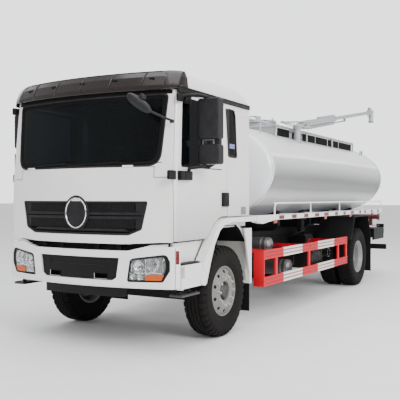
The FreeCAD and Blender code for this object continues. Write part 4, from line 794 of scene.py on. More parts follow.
ws = B("windscreen_black_band", M["dark"], "cab", "black_plastic")
loop_band(ws, inset_loop(WS_C, 2, 2), inset_loop(WS_C, 48, 42), 8.0, 9.6)
ws.done()
sl_ = B("windscreen_seal", M["seal"], "cab", "black_plastic")
loop_band(sl_, inset_loop(WS_C, -9, -9), inset_loop(WS_C, 7, 7), -3.0, 12.0)
sl_.done(bevel=2.0)
hd = B("windscreen_header", M["black"], "cab", "black_plastic")
band(hd, fine([(-1082, 2738), (1082, 2738)], 44), fine([(-1086, 2794), (1086, 2794)], 44), -2.5, 6.0)
hd.done(bevel=1.5)


def patch(b, loop, d, base=None, steps=(1.0, 0.85, 0.65, 0.45, 0.25, 0.08), d_in=None):
    """Surface that fills an (x, z) loop and follows the front face at inset d."""
    cx = sum(p[0] for p in loop) / len(loop)
    cz = sum(p[1] for p in loop) / len(loop)
    rows = []
    for k in steps:
        rows.append([(cx + (x - cx) * k, yf(cx + (x - cx) * k, cz + (z - cz) * k, base) + d, cz + (z - cz) * k) for x, z in loop])
    b.grid(rows, True)
    n0 = len(b.v)
    b.v.append((cx, yf(cx, cz, base) + d, cz))
    m = len(loop)
    s = n0 - m
    b.f += [(s + i, s + (i + 1) % m, n0) for i in range(m)]
    return b


def dense(loop, step=30.0):
    out = []
    m = len(loop)
    for i in range(m):
        a, c = loop[i], loop[(i + 1) % m]
        k = max(1, int(math.hypot(c[0] - a[0], c[1] - a[1]) / step))
        for t in range(k):
            out.append((a[0] + (c[0] - a[0]) * t / k, a[1] + (c[1] - a[1]) * t / k))
    return out


def shrink(loop, d):
    """Loop moved inward by d, for a convex loop."""
    m = len(loop)
    cx = sum(p[0] for p in loop) / m
    cz = sum(p[1] for p in loop) / m
    out = []
    for i in range(m):
        a, b_, c = Vector(loop[i - 1]), Vector(loop[i]), Vector(loop[(i + 1) % m])
        t = (c - a).normalized() if (c - a).length > 1e-6 else Vector((1, 0))
        nrm = Vector((-t.y, t.x))
        if nrm.dot(Vector((cx, cz)) - b_) < 0:
            nrm = -nrm
        out.append(tuple(b_ + nrm * d))
    return out


# ---------------------------------------------------------------------
# bumper: lower grille trim, corner seam, reflectors, gap shadow
# ---------------------------------------------------------------------
lt = B("lower_grille_trim", M["grille"], "chassis", "black_plastic")
for off, r in ((0, 4.5), (14, 2.5)):
    pts = fine([(-412 - off, 981), (-364 - off * 0.6, 925 - off), (364 + off * 0.6, 925 - off), (412 + off, 981)], 16)
    lt.tube([(x, yf(x, z, 0) + 16.5, z) for x, z in pts], r, 8)
lt.tube([(x, yf(x, z, 0) + 17.5, z) for x, z in fine([(-524, 990), (-496, 806), (-455, 783), (455, 783), (496, 806), (524, 990)], 12)], 3.0, 6)
lt.done()
lh = B("lower_grille_pockets", M["black"], "chassis", "black_plastic")
le = B("lower_grille_pocket_edges", M["alu"], "chassis", "black_plastic")
for x0, x1 in ((-404, -236), (236, 404)):
    lp = dense([(x0, 776), (x1, 776), (x1, 840), (x0, 840)], 40)
    rows = [[(x, yf(x, z, 0) + 15, z) for x, z in lp], [(x, yf(x, z, 0) + 15, z) for x, z in shrink(lp, 5)], [(x, yf(x, z, 0) + 75, z) for x, z in shrink(lp, 5)], [(x, yf(x, z, 0) + 75, z) for x, z in lp]]
    rows.append(rows[0])
    lh.grid(rows, True)
    le.tube([(x, yf(x, z, 0) + 14, z) for x, z in fine([(x0 + 3, 838), (x0 + 3, 779), (x1 - 3, 779)], 5)], 2.6, 6)
lh.done()
le.done()
# painted shade: a near-black sheet behind the lower grille stands partly for the dark parts behind it and partly for
# the shade there
lbk = B("lower_grille_shade_sheet", M["dark"], "chassis", "black_plastic")
band(lbk, fine([(-470, 765), (470, 765)], 24), fine([(-470, 1000), (470, 1000)], 24), 86.0, 90.0, 0)
lbk.done()


def corner(w, rc, a, d=0.0, out=0.0):
    """Point on a rounded cab or bumper corner, seen from above: 0 degrees is the side."""
    cx = w - rc
    cy = 3804.0 - math.sqrt((3804.0 - rc) ** 2 - cx ** 2) + d
    return cx + (rc + out) * math.cos(math.radians(a)), cy - (rc + out) * math.sin(math.radians(a))


bs_ = B("bumper_corner_seams", M["dark"], "chassis", "black_plastic")
x_, y_ = corner(1180, 120, 38, 0, 0.4)
bs_.tube([(x_, y_, 703), (x_, y_, 1128)], 2.2, 6)
bs_.mirror()
bs_.done()
rf = B("bumper_side_reflectors", M["lens_red"], "chassis", "lamp_glass")
rows = []
for a in (15, 19, 23, 27, 31, 35):
    xo, yo = corner(1180, 120, a, 0, 3.5)
    xi, yi = corner(1180, 120, a, 0, -1.0)
    rows.append([(xi, yi, 955), (xo, yo, 957), (xo, yo, 1093), (xi, yi, 1095)])
rf.grid(rows, True)
rf.add(rows[0], [(0, 1, 2, 3)])
rf.add(rows[-1], [(3, 2, 1, 0)])
rf.mirror()
rf.done(bevel=1.0)
# painted shadow: near-black band, blocks and bar fill the gap above the bumper
gp = B("bumper_gap_shade", M["dark"], "chassis", "frame_black")
band(gp, fine([(-880, 1010), (880, 1010)], 40), fine([(-880, 1148), (880, 1148)], 40), 78.0, 84.0, 0)
for xc in (-520, -250, 250, 520):
    gp.box(xc - 30, xc + 30, yf(xc, 1150, 0) + 40, yf(xc, 1150, 0) + 86, 1010, 1142, 4)
gp.tube([(x, yf(x, z, 0) + 62, z) for x, z in fine([(-860, 1108), (860, 1108)], 20)], 9, 8)
gp.done()

# ---------------------------------------------------------------------
# headlamps: bezel, reflector bowls, small lamps, amber block, clear cover
# ---------------------------------------------------------------------
LAMP = round_loop([(642, 760), (676, 985), (704, 1010), (1052, 1056), (1084, 1042), (1112, 985), (1112, 885), (1038, 766)], [16, 22, 22, 16, 20, 40, 60, 40], 4)
LAMPD = dense(shrink(LAMP, 1.2), 26)
hb_ = B("headlamp_bezels", M["black"], "chassis", "black_plastic")
inner = [(x - (26 if x > 1040 else 12 if x > 900 else 0) * 1.0, z) for x, z in shrink(LAMPD, 17)]
rows = [[(x, yf(x, z, 0) + 1, z) for x, z in LAMPD], [(x, yf(x, z, 0) + 5, z) for x, z in inner], [(x, yf(x, z, 0) + 60, z) for x, z in inner], [(x, yf(x, z, 0) + 60, z) for x, z in LAMPD]]
rows.append(rows[0])
hb_.grid(rows, True)
hb_.mirror()
hb_.done()
hr = B("headlamp_reflectors", M["chrome"], "chassis", "lamp_glass")
ctr = ((764, 918, 66, 60), (926, 950, 78, 64), (703, 815, 34, 30), (782, 812, 34, 30))
patch(hr, inner, 76.0, 0)
for xc, zc, r, dp in ctr:
    y0 = yf(xc, zc, 0) + 20
    hr.lathe((xc, y0, zc), (0.12, 1.0, 0.0), [(r + 5, -2), (r + 5, 2), (r, 2), (r * 0.97, 8), (r * 0.80, dp * 0.45), (r * 0.5, dp * 0.75), (r * 0.22, dp * 0.86), (0, dp * 0.86)], 32)
# stepped ribs at the outer end and between the bowls
for k in range(7):
    z0 = 862 + k * 24
    hr.box(1030, 1058, yf(1044, z0, 0) + 18, yf(1044, z0, 0) + 60, z0, z0 + 15, 3)
hr.box(838, 848, yf(843, 900, 0) + 20, yf(843, 900, 0) + 70, 856, 1012, 2)
hr.box(664, 838, yf(750, 860, 0) + 22, yf(750, 860, 0) + 66, 852, 862, 2)
hr.box(850, 1030, yf(940, 860, 0) + 22, yf(940, 860, 0) + 66, 854, 864, 2)
for k in range(9):
    xx = 858 + 19 * k
    hr.box(xx, xx + 3, yf(xx, 1015, 0) + 40, yf(xx, 1015, 0) + 72, 866, 1030 + (xx - 900) * 0.03, 1)
hr.mirror()
hro = hr.done(angle=45)
hs = B("headlamp_bulb_caps", M["dark_steel"], "chassis", "lamp_glass")
for xc, zc, r, dp in ctr:
    y0 = yf(xc, zc, 0) + 20
    hs.cyl((xc, y0 + dp * 0.9, zc), (xc, y0 + dp * 0.3, zc), r * 0.22, 16, 2)
hs.mirror()
hs.done()
ha = B("headlamp_indicators", M["lens_amber"], "chassis", "lamp_glass")
am = [(850, 782), (1020, 784), (1046, 812), (1046, 846), (850, 842)]
rows = [[(x, yf(x, z, 0) + 4, z) for x, z in dense(am, 24)], [(x, yf(x, z, 0) + 62, z) for x, z in dense(am, 24)]]
ha.grid(rows, True)
patch(ha, dense(am, 24), 4.0, 0)
for k in range(8):
    ha.box(858 + 22 * k, 866 + 22 * k, yf(870 + 22 * k, 815, 0) + 2.0, yf(870 + 22 * k, 815, 0) + 8, 788, 838, 2)
ha.mirror()
ha.done()
hc = B("headlamp_covers", M["lens"], "chassis", "lamp_glass")
patch(hc, inner, 6.5, 0)
hc.mirror()
hco = hc.done(solid=2.5)
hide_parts("headlamps")

# ---------------------------------------------------------------------
# sun visor: ribs, edge strips, brackets
# ---------------------------------------------------------------------
VIS = [(2778, 58, 1150), (2830, 66, 1152), (2930, 120, 1140), (3000, 186, 1110)]


def yv(x, z, out=0.0):
    t = [(a, b_) for a, b_, c in VIS]
    return 3804.0 - math.sqrt(3804.0 ** 2 - min(abs(x), 1130.0) ** 2) + lerp(t, z) - out


vs = B("visor_ribs", M["visor"], "cab", "smoked_plastic")
for xc in (-760, -380, 0, 380, 760):
    vs.tube([(xc * (1 + 0.02 * (z - 2778) / 222), yv(xc, z, 1.5), z) for z in (2790, 2830, 2880, 2930, 2965, 2992)], 7.0, 8)
vs.tube([(x, yv(x, 2782, 2.0), 2782) for x in range(-960, 961, 40)], 6.0, 8)
vs.tube([(x, yv(x, 2994, 1.0), 2994) for x in range(-940, 941, 40)], 5.0, 8)
vs.done()
vb_ = B("visor_brackets", M["black"], "cab", "black_plastic")
for xc in (-860, -430, 0, 430, 860):
    vb_.box(xc - 34, xc + 34, yv(xc, 2905, 6), yv(xc, 2905, -2), 2893, 2917, 3)
    vb_.hexbolt((xc - 20, yv(xc, 2905, 6), 2905), (0, -1, 0), 7, 5)
    vb_.hexbolt((xc + 20, yv(xc, 2905, 6), 2905), (0, -1, 0), 7, 5)
vb_.done()

# =====================================================================
# cab sides: visor ends, mirrors, gutters, seams, handles, wipers
# =====================================================================
ve = B("visor_end_caps", M["visor"], "cab", "smoked_plastic")
rows = []
for k in range(13):
    t = k / 12.0
    x = 985 + 168 * t
    bulge = math.sin(math.pi * (0.15 + 0.70 * t))
    z0, z1 = 2776 + 14 * t, 3000 - 26 * t * t
    y0 = yv(min(x, 1120), z0) + 30 * t * t
    y1 = yv(min(x, 1120), z1) + 30 * t * t
    out_ = 10 + 20 * bulge
    sec = []
    for j in range(16):
        a = 2 * math.pi * j / 16
        u = 0.5 + 0.5 * math.sin(a)
        zz = z0 + (z1 - z0) * u
        yy = y0 + (y1 - y0) * u
        sec.append((x, yy - out_ * max(0.0, math.cos(a)) - 1.0 + 6.0 * max(0.0, -math.cos(a)), zz))
    rows.append(sec)
ve.grid(rows, True)
n0 = len(ve.v)
ve.f.append(tuple(range(n0 - 16, n0)))
ve.f.append(tuple(reversed(range(n0 - 16 * 13, n0 - 16 * 12))))
ve.mirror()
ve.done(angle=50)

# leaning front-view mirror on its ball mount and arm
fm = B("front_view_mirror", M["mirror_case"], "cab", "black_plastic")
c0, c1 = Vector((748, -80, 2710)), Vector((1044, -80, 2508))
ax = (c1 - c0).normalized()
L = (c1 - c0).length
e1 = Vector((0, 1, 0))
e2 = ax.cross(e1)
rows = []
for k in range(25):
    t = k / 24.0
    r = max(0.02, max(0.0, 1 - abs(2 * t - 1) ** 2.6) ** 0.5)
    sec = []
    for j in range(24):
        a = 2 * math.pi * j / 24
        ca, sa = math.cos(a), math.sin(a)
        dep = 49.0 if ca < 0 else 34.0
        p = c0 + ax * (L * t) + e1 * (dep * r * ca) + e2 * (56.0 * r * sa)
        sec.append(tuple(p))
    rows.append(sec)
fm.grid(rows, True)
fm.f.append(tuple(reversed(range(0, 24))))
fm.f.append(tuple(range(24 * 24, 24 * 25)))
mid = c0 + (c1 - c0) * 0.52
fm.box(mid.x - 4, mid.x + 62, -102, -40, mid.z + 34, mid.z + 84, 14, 3)
fm.cyl((mid.x + 28, -74, mid.z + 70), (mid.x + 30, -74, mid.z + 98), 20, 16, 6)
fm.tube([(1020, -60, 2520), (1060, -10, 2496), (1096, 60, 2470), (1132, 194, 2441)], 13, 10)
fm.box(1100, 1142, 172, 206, 2420, 2458, 8, 3)
fmo = fm.done(angle=50)
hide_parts("front_mirror")

# gutter over the doors
X_ = 1150.0
gt = B("side_gutters", M["black"], "cab", "black_plastic")
gt.prism([(255, 2752), (300, 2742), (420, 2752), (700, 2760), (1980, 2757), (1992, 2768), (1986, 2806), (700, 2812), (420, 2816), (270, 2822)], "yz", 1138, 1163, 5, 3)
gt.prism([(300, 2806), (700, 2806), (1980, 2802), (1984, 2812), (700, 2818), (300, 2820)], "yz", 1136, 1168, 4, 2)
gt.mirror()
gt.done()


def flip(b):
    """Turns a left-hand builder into its right-hand image."""
    b.v = [(-x, y, z) for x, y, z in b.v]
    b.f = [tuple(f[::-1]) for f in b.f]
    return b


def shell_head(b, x0, x1, y0, y1, z0, z1, crease=None, r=30, n=9):
    """Mirror housing: bowed, round-cornered front face, straight rim, open back with a lip."""
    def loop(ins, rr):
        xa, xb, za, zb = x0 + ins, x1 - ins, z0 + ins, z1 - ins
        pts = []
        for cx, cz, a0 in ((xb - rr, zb - rr, 0), (xa + rr, zb - rr, 90), (xa + rr, za + rr, 180), (xb - rr, za + rr, 270)):
            for k in range(n):
                a = math.radians(a0 + 90.0 * k / (n - 1))
                pts.append((cx + rr * math.cos(a), cz + rr * math.sin(a)))
        return pts
    rows = []
    for ins, y, rr in ((0, y1, r), (0, y0 + 20, r), (2, y0 + 11, r), (7, y0 + 4, r), (15, y0 + 1, r * 0.9), (40, y0, r * 0.6)):
        rr = min(rr, (x1 - x0) / 2 - ins - 1, (z1 - z0) / 2 - ins - 1)
        rows.append([(x, y, z) for x, z in loop(ins, max(rr, 3))])
    b.grid(rows, True)
    m = len(rows[0])
    n1 = len(b.v)
    b.f.append(tuple(range(n1 - m, n1)))
    rim = [[(x, y1, z) for x, z in loop(0, r)], [(x, y1, z) for x, z in loop(10, r - 8)], [(x, y1 - 14, z) for x, z in loop(10, r - 8)]]
    b.grid(rim, True)
    n2 = len(b.v)
    b.f.append(tuple(range(n2 - m, n2))[::-1])
    if crease:
        b.box(crease - 3, crease + 3, y0 - 1.5, y0 + 6, z0 + 26, z1 - 26, 1.5)
    return loop


for sx, body, node, tag in ((1, "door_l", "mirror_left", "left"), (-1, "door_r", "mirror_right", "right")):
    h = B("mirror_heads_" + tag, M["mirror_case"], body, "black_plastic")
    lp = shell_head(h, 1218, 1482, 540, 650, 2272, 2712, 1276, 30)
    shell_head(h, 1222, 1484, 545, 650, 2004, 2218, None, 28)
    h.box(1398, 1442, 537, 544, 2480, 2532, 4)
    h.box(1404, 1436, 534.5, 540, 2486, 2526, 3)
    h.tube([(1350, 612, 2200), (1350, 612, 2310)], 15, 12)
    h.box(1325, 1375, 585, 640, 2200, 2290, 8, 3)
    h.box(1236, 1290, 590, 620, 2200, 2290, 6, 2)
    h.box(1410, 1466, 590, 620, 2200, 2290, 6, 2)
    if sx < 0:
        flip(h)
    ho = h.done(angle=42)
    k = B("mirror_arms_" + tag, M["black"], body, "black_plastic")
    k.tube([(1180, 440, 1925), (1180, 440, 1962), (1290, 560, 1984), (1330, 600, 2060)], 19, 12, smooth=26)
    k.tube([(1352, 610, 2690), (1340, 596, 2716), (1280, 520, 2738), (1196, 360, 2726), (1168, 280, 2700)], 19, 14, smooth=34)
    k.box(1151, 1188, 216, 330, 2652, 2736, 16, 4)
    k.box(1151, 1199, 352, 470, 2642, 2736, 14, 3)
    k.box(1151, 1203, 246, 322, 1830, 1930, 12, 4)
    k.box(1151, 1203, 326, 490, 1832, 1930, 16, 4)
    for yy, zz in ((266, 1850), (266, 1908), (468, 1852), (468, 1908)):
        k.hexbolt((1202, yy, zz), (1, 0, 0), 6, 3)
    if sx < 0:
        flip(k)
    ko = k.done(angle=42)
    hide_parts(node)
    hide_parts(node)
    if sx > 0:
        br = B("mirror_bracket_corner_" + tag, M["black"], "cab", "black_plastic")
        br.prism([(44, 1846), (52, 1834), (186, 1834), (186, 1930), (60, 1930), (46, 1918)], "yz", 1148, 1179, 9, 4)
        br.done(angle=42)
    lt = B("mirror_link_bars_" + tag, M["groove_shade_and_bar_grey"], body, "black_plastic")
    lt.box(1262, 1276, 580, 592, 2216, 2276, 3)
    lt.box(1392, 1406, 580, 592, 2216, 2276, 3)
    lt.box(1262, 1406, 580, 592, 2262, 2272, 3)
    if sx < 0:
        flip(lt)
    lt.done()
    g = B("mirror_glass_" + tag, M["mirror"], body, "lamp_glass")
    for a in ((1232, 1468, 636, 640, 2286, 2698), (1236, 1470, 636, 640, 2018, 2204)):
        g.box(*a, 1.5)
    if sx < 0:
        flip(g)
    g.done()

    # door trim: handle, lock, window seal, shoulder creases, lower edge
    hd = B("door_handle_" + tag, M["black"], body, "black_plastic")
    hd.box(1149.5, 1177.5, 1233, 1385, 1542, 1708, 7, 4)
    hd.box(1175, 1184, 1246, 1372, 1656, 1694, 5, 3)
    hd.box(1175, 1181, 1250, 1264, 1560, 1690, 3, 2)
    hd.box(1175, 1181, 1354, 1368, 1560, 1690, 3, 2)
    hd.cyl((1176, 1310, 1580), (1182, 1310, 1580), 13, 20, 1.5)
    if sx < 0:
        flip(hd)
    hd.done()
    ws = B("door_window_seal_" + tag, M["seal"], body, "black_plastic")
    pts = [(322, 1990), (338, 2380), (352, 2640), (370, 2710), (1224, 2710), (1240, 2690), (1246, 1990), (1228, 1976), (345, 1976), (322, 1990)]
    ws.tube([(1141.0 if z < 2400 else 1140.0, y, z) for y, z in fine(pts, 4)], 7.5, 8)
    ws.box(1128, 1150.6, 330, 1238, 1968, 1984, 3)
    if sx < 0:
        flip(ws)
    ws.done()
    cr = B("door_creases_" + tag, M["cab"], body, "cab_white")
    for zz, r, y0, y1 in ((1836, 4.2, 260, 1380), (1728, 3.6, 260, 1228)):
        cr.tube([(1149.4, y, zz) for y in (y0, (y0 + y1) / 2, y1)], r, 8)
    dq = [(210, 1205), (860, 1205), (1010, 1352), (1145, 1424), (1376, 1448)]
    cr.tube([(1149.4, y, z) for y, z in fine(dq, 5)], 3.0, 8)
    cr.prism([(930, 1972), (1248, 1972), (1248, 2086), (1226, 2084), (1120, 2034), (1010, 2000)], "yz", 1139, 1150.6, 1)
    if sx < 0:
        flip(cr)
    cr.done()
    ds = B("door_shut_seal_" + tag, M["seal"], body, "black_plastic")
    ds.tube([(1112, y, z) for y, z in fine([(212, 1202), (212, 1860), (286, 2692), (312, 2730), (1294, 2730), (1312, 2696), (1374, 2100), (1374, 1444), (1250, 1440), (1150, 1420), (1015, 1348), (868, 1202), (212, 1202)], 3)], 6, 6)
    if sx < 0:
        flip(ds)
    ds.done()

# rear quarter: window surround, grooves, vent
qs = B("quarter_window_seals", M["seal"], "cab", "black_plastic")
qp = [(1420, 2708), (1570, 2700), (1598, 2640), (1640, 2160), (1625, 2135), (1440, 2135), (1428, 2160), (1420, 2708)]
qs.tube([(1143, y, z) for y, z in fine(qp, 4)], 10, 8)
for y0, y1, z0, z1 in ((1436, 1452, 2150, 2700), (1592, 1612, 2160, 2600), (1440, 1620, 2140, 2162)):
    qs.box(1133, 1142, y0, y1, z0, z1, 2)
qs.prism([(1337, 2706), (1424, 2708), (1430, 2160), (1442, 2134), (1402, 2134), (1398, 2160)], "yz", 1146, 1151.2, 1)
qs.mirror()
qs.done()
qv = B("quarter_window_stickers", M["violet_strip"], "cab", "black_plastic")
qv.box(1141.5, 1143.5, 1458, 1588, 2240, 2296, 0.5)
qv.mirror()
qv.done()
rg = B("rear_pillar_ribs", M["cab"], "cab", "cab_white")
for k in range(5):
    zz = 2652 - 122 * k
    rg.tube([(1148.8, y, zz) for y in (1735, 1850, 1960)], 4.0, 8)
rg.tube([(1149.0, y, 1728) for y in (1405, 1700, 1965)], 2.6, 8)
rg.tube([(1149.0, y, 1836) for y in (1405, 1700, 1965)], 3.0, 8)
rg.mirror()
rg.done()
vn = B("rear_pillar_vents", M["vent_grey"], "cab", "black_plastic")
vn.box(1149, 1155, 1750, 1884, 1440, 1536, 5, 3)
for k in range(5):
    vn.box(1153, 1158, 1760, 1874, 1450 + 17 * k, 1458 + 17 * k, 2)
vn.mirror()
vn.done()

# roof crease rails
rc = B("roof_creases", M["cab"], "cab", "cab_white")
rc.tube([(1089, 440, 2921), (1080, 700, 2924), (1078, 1300, 2922), (1082, 1850, 2914)], 6, 8)
rc.mirror()
rc.box(-560, 560, 700, 730, 3050, 3060, 4)
rc.box(-560, 560, 1700, 1730, 3050, 3058, 4)
rc.done()

# wipers parked along the foot of the windscreen
wp = B("wipers", M["black"], "cab", "black_plastic")
for xc, L in ((-820, 640), (-120, 640), (560, 400)):
    wp.cyl((xc, yf(xc, 1995) + 4, 1994), (xc, yf(xc, 1995) - 14, 1996), 16, 16, 3)
    a = [(xc + L * t, yf(xc + L * t, 2016 + 22 * t) - 5, 2000 + 26 * t) for t in (0.0, 0.25, 0.5, 0.75, 1.0)]
    wp.tube(a, 6, 8)
    b_ = [(xc + L * (0.18 + 0.95 * t), yf(xc + L * (0.18 + 0.95 * t), 2010) + 1, 2006 + 10 * t) for t in (0.0, 0.2, 0.4, 0.6, 0.8, 1.0)]
    wp.tube(b_, 4.5, 6)
wp.done()

# dark lining of the cab, partly real trim and partly painted shade that keeps the inside dim
ln = B("cab_lining_and_shade", M["liner"], "cab", "seat_fabric")
ln.box(-1050, 1050, 1925, 1945, 1320, 2770, 12, 3)
ln.box(-1000, 1000, 700, 1920, 2760, 2775, 6, 2)
ln.box(-980, 980, 620, 1900, 1292, 1302, 3, 2)
ln.box(-1000, 1000, 1640, 1920, 1560, 1700, 30, 3)
ln.box(-200, 200, 860, 1500, 1300, 1600, 30, 3)
ln.done()
db = B("dashboard_details", M["dash"], "cab", "black_plastic")
db.box(-860, -380, 330, 520, 1958, 2000, 16, 3)
db.box(-300, 300, 540, 566, 1600, 1900, 10, 3)
for x0, x1, z0, z1 in ((-260, -30, 1770, 1880), (10, 260, 1770, 1880), (-260, 260, 1640, 1740)):
    db.box(x0, x1, 560, 574, z0, z1, 5, 2)
for xc in (-960, -340, 340, 960):
    db.box(xc - 50, xc + 50, 548, 566, 1800, 1860, 5, 2)
    for k in range(4):
        db.box(xc - 42, xc + 42, 562, 570, 1808 + 12 * k, 1813 + 12 * k, 1)
db.done()
pp = B("dashboard_papers", M["paper"], "cab", "black_plastic")
for x, y, a, w_, l_ in ((-190, 300, 12, 230, 150), (160, 330, -18, 200, 140), (-480, 270, 25, 180, 120)):
    pp.box(x - w_ / 2, x + w_ / 2, y - l_ / 2, y + l_ / 2, 1972, 1974, 0.5, 1, rot=Matrix.Rotation(math.radians(a), 3, "Z"))
pp.done()


# =====================================================================
# wheels: tread, sidewall rings, hubs, nuts, drums, valves
# =====================================================================
def tyre_mesh(b, xc, yc, zc, lugs=40, block=True, face=1):
    """Tyre with four wandering grooves, shoulder lugs and sidewall rings. face: the side that carries the outer
    sidewall; not used.
    """
    prof = []
    def add(x, r, nx=0.0, nr=0.0, zg=0.0):
        prof.append((x, r, nx, nr, zg))
    left = [(112, 290), (118, 296), (126, 306), (128, 312), (131, 316), (131.5, 322), (134, 325), (139, 345), (143, 362), (145.5, 366), (145.5, 374), (146, 378), (149, 405), (149.6, 425), (148.5, 446), (149, 450), (149, 456), (147, 460)]
    for x, r in left:
        add(-x, r)
    for x, r, nx, nr in ((-145.5, 470, 1, 0), (-145, 474, 9, 0), (-140.5, 496, 11, 1), (-137, 508, 12, 2), (-130, 521, 12, 9), (-121, 529.5, 6, 14), (-104, 535.5, 0, 14), (-88, 537.0, 0, 14)):
        add(x, r, nx, nr)
    gs = [(-72, 9), (-25, 7), (25, 7), (72, 9)]
    prev = None
    for g, w_ in gs:
        sgn = 1 if g in (-72, 25) else -1
        top = 540.0 - (abs(g) / 150.0) ** 2 * 6
        add(g - w_ - 6, top, 0, 0, 0.0)
        add(g - w_, top, 0, 0, sgn * 6.0)
        add(g - w_ + 2.5, top - 15, 0, 0, sgn * 6.0)
        add(g + w_ - 2.5, top - 15, 0, 0, sgn * 6.0)
        add(g + w_, top, 0, 0, sgn * 6.0)
        add(g + w_ + 6, top, 0, 0, 0.0)
    for x, r, nx, nr in ((88, 537.0, 0, 14), (104, 535.5, 0, 14), (121, 529.5, 6, 14), (130, 521, 12, 9), (137, 508, 12, 2), (140.5, 496, 11, 1), (145, 474, 9, 0), (145.5, 470, 1, 0)):
        add(x, r, nx, nr)
    for x, r in reversed(left):
        add(x, r)
    rows = []
    for i in range(lugs):
        for f, notch, zz in ((0.0, 0, -1.0), (0.25, 0, 0.0), (0.50, 0, 1.0), (0.60, 0, 0.6), (0.64, 1, 0.5), (0.96, 1, -0.9)):
            a = 2 * math.pi * (i + f) / lugs
            row = []
            for x, r, nx, nr, zg in prof:
                xx = x - math.copysign(nx, x) * notch + zg * zz
                rr = r - nr * notch
                row.append((xc + xx, yc + rr * math.cos(a), zc + rr * math.sin(a)))
            rows.append(row)
    rows.append(rows[0])
    b.grid(rows)


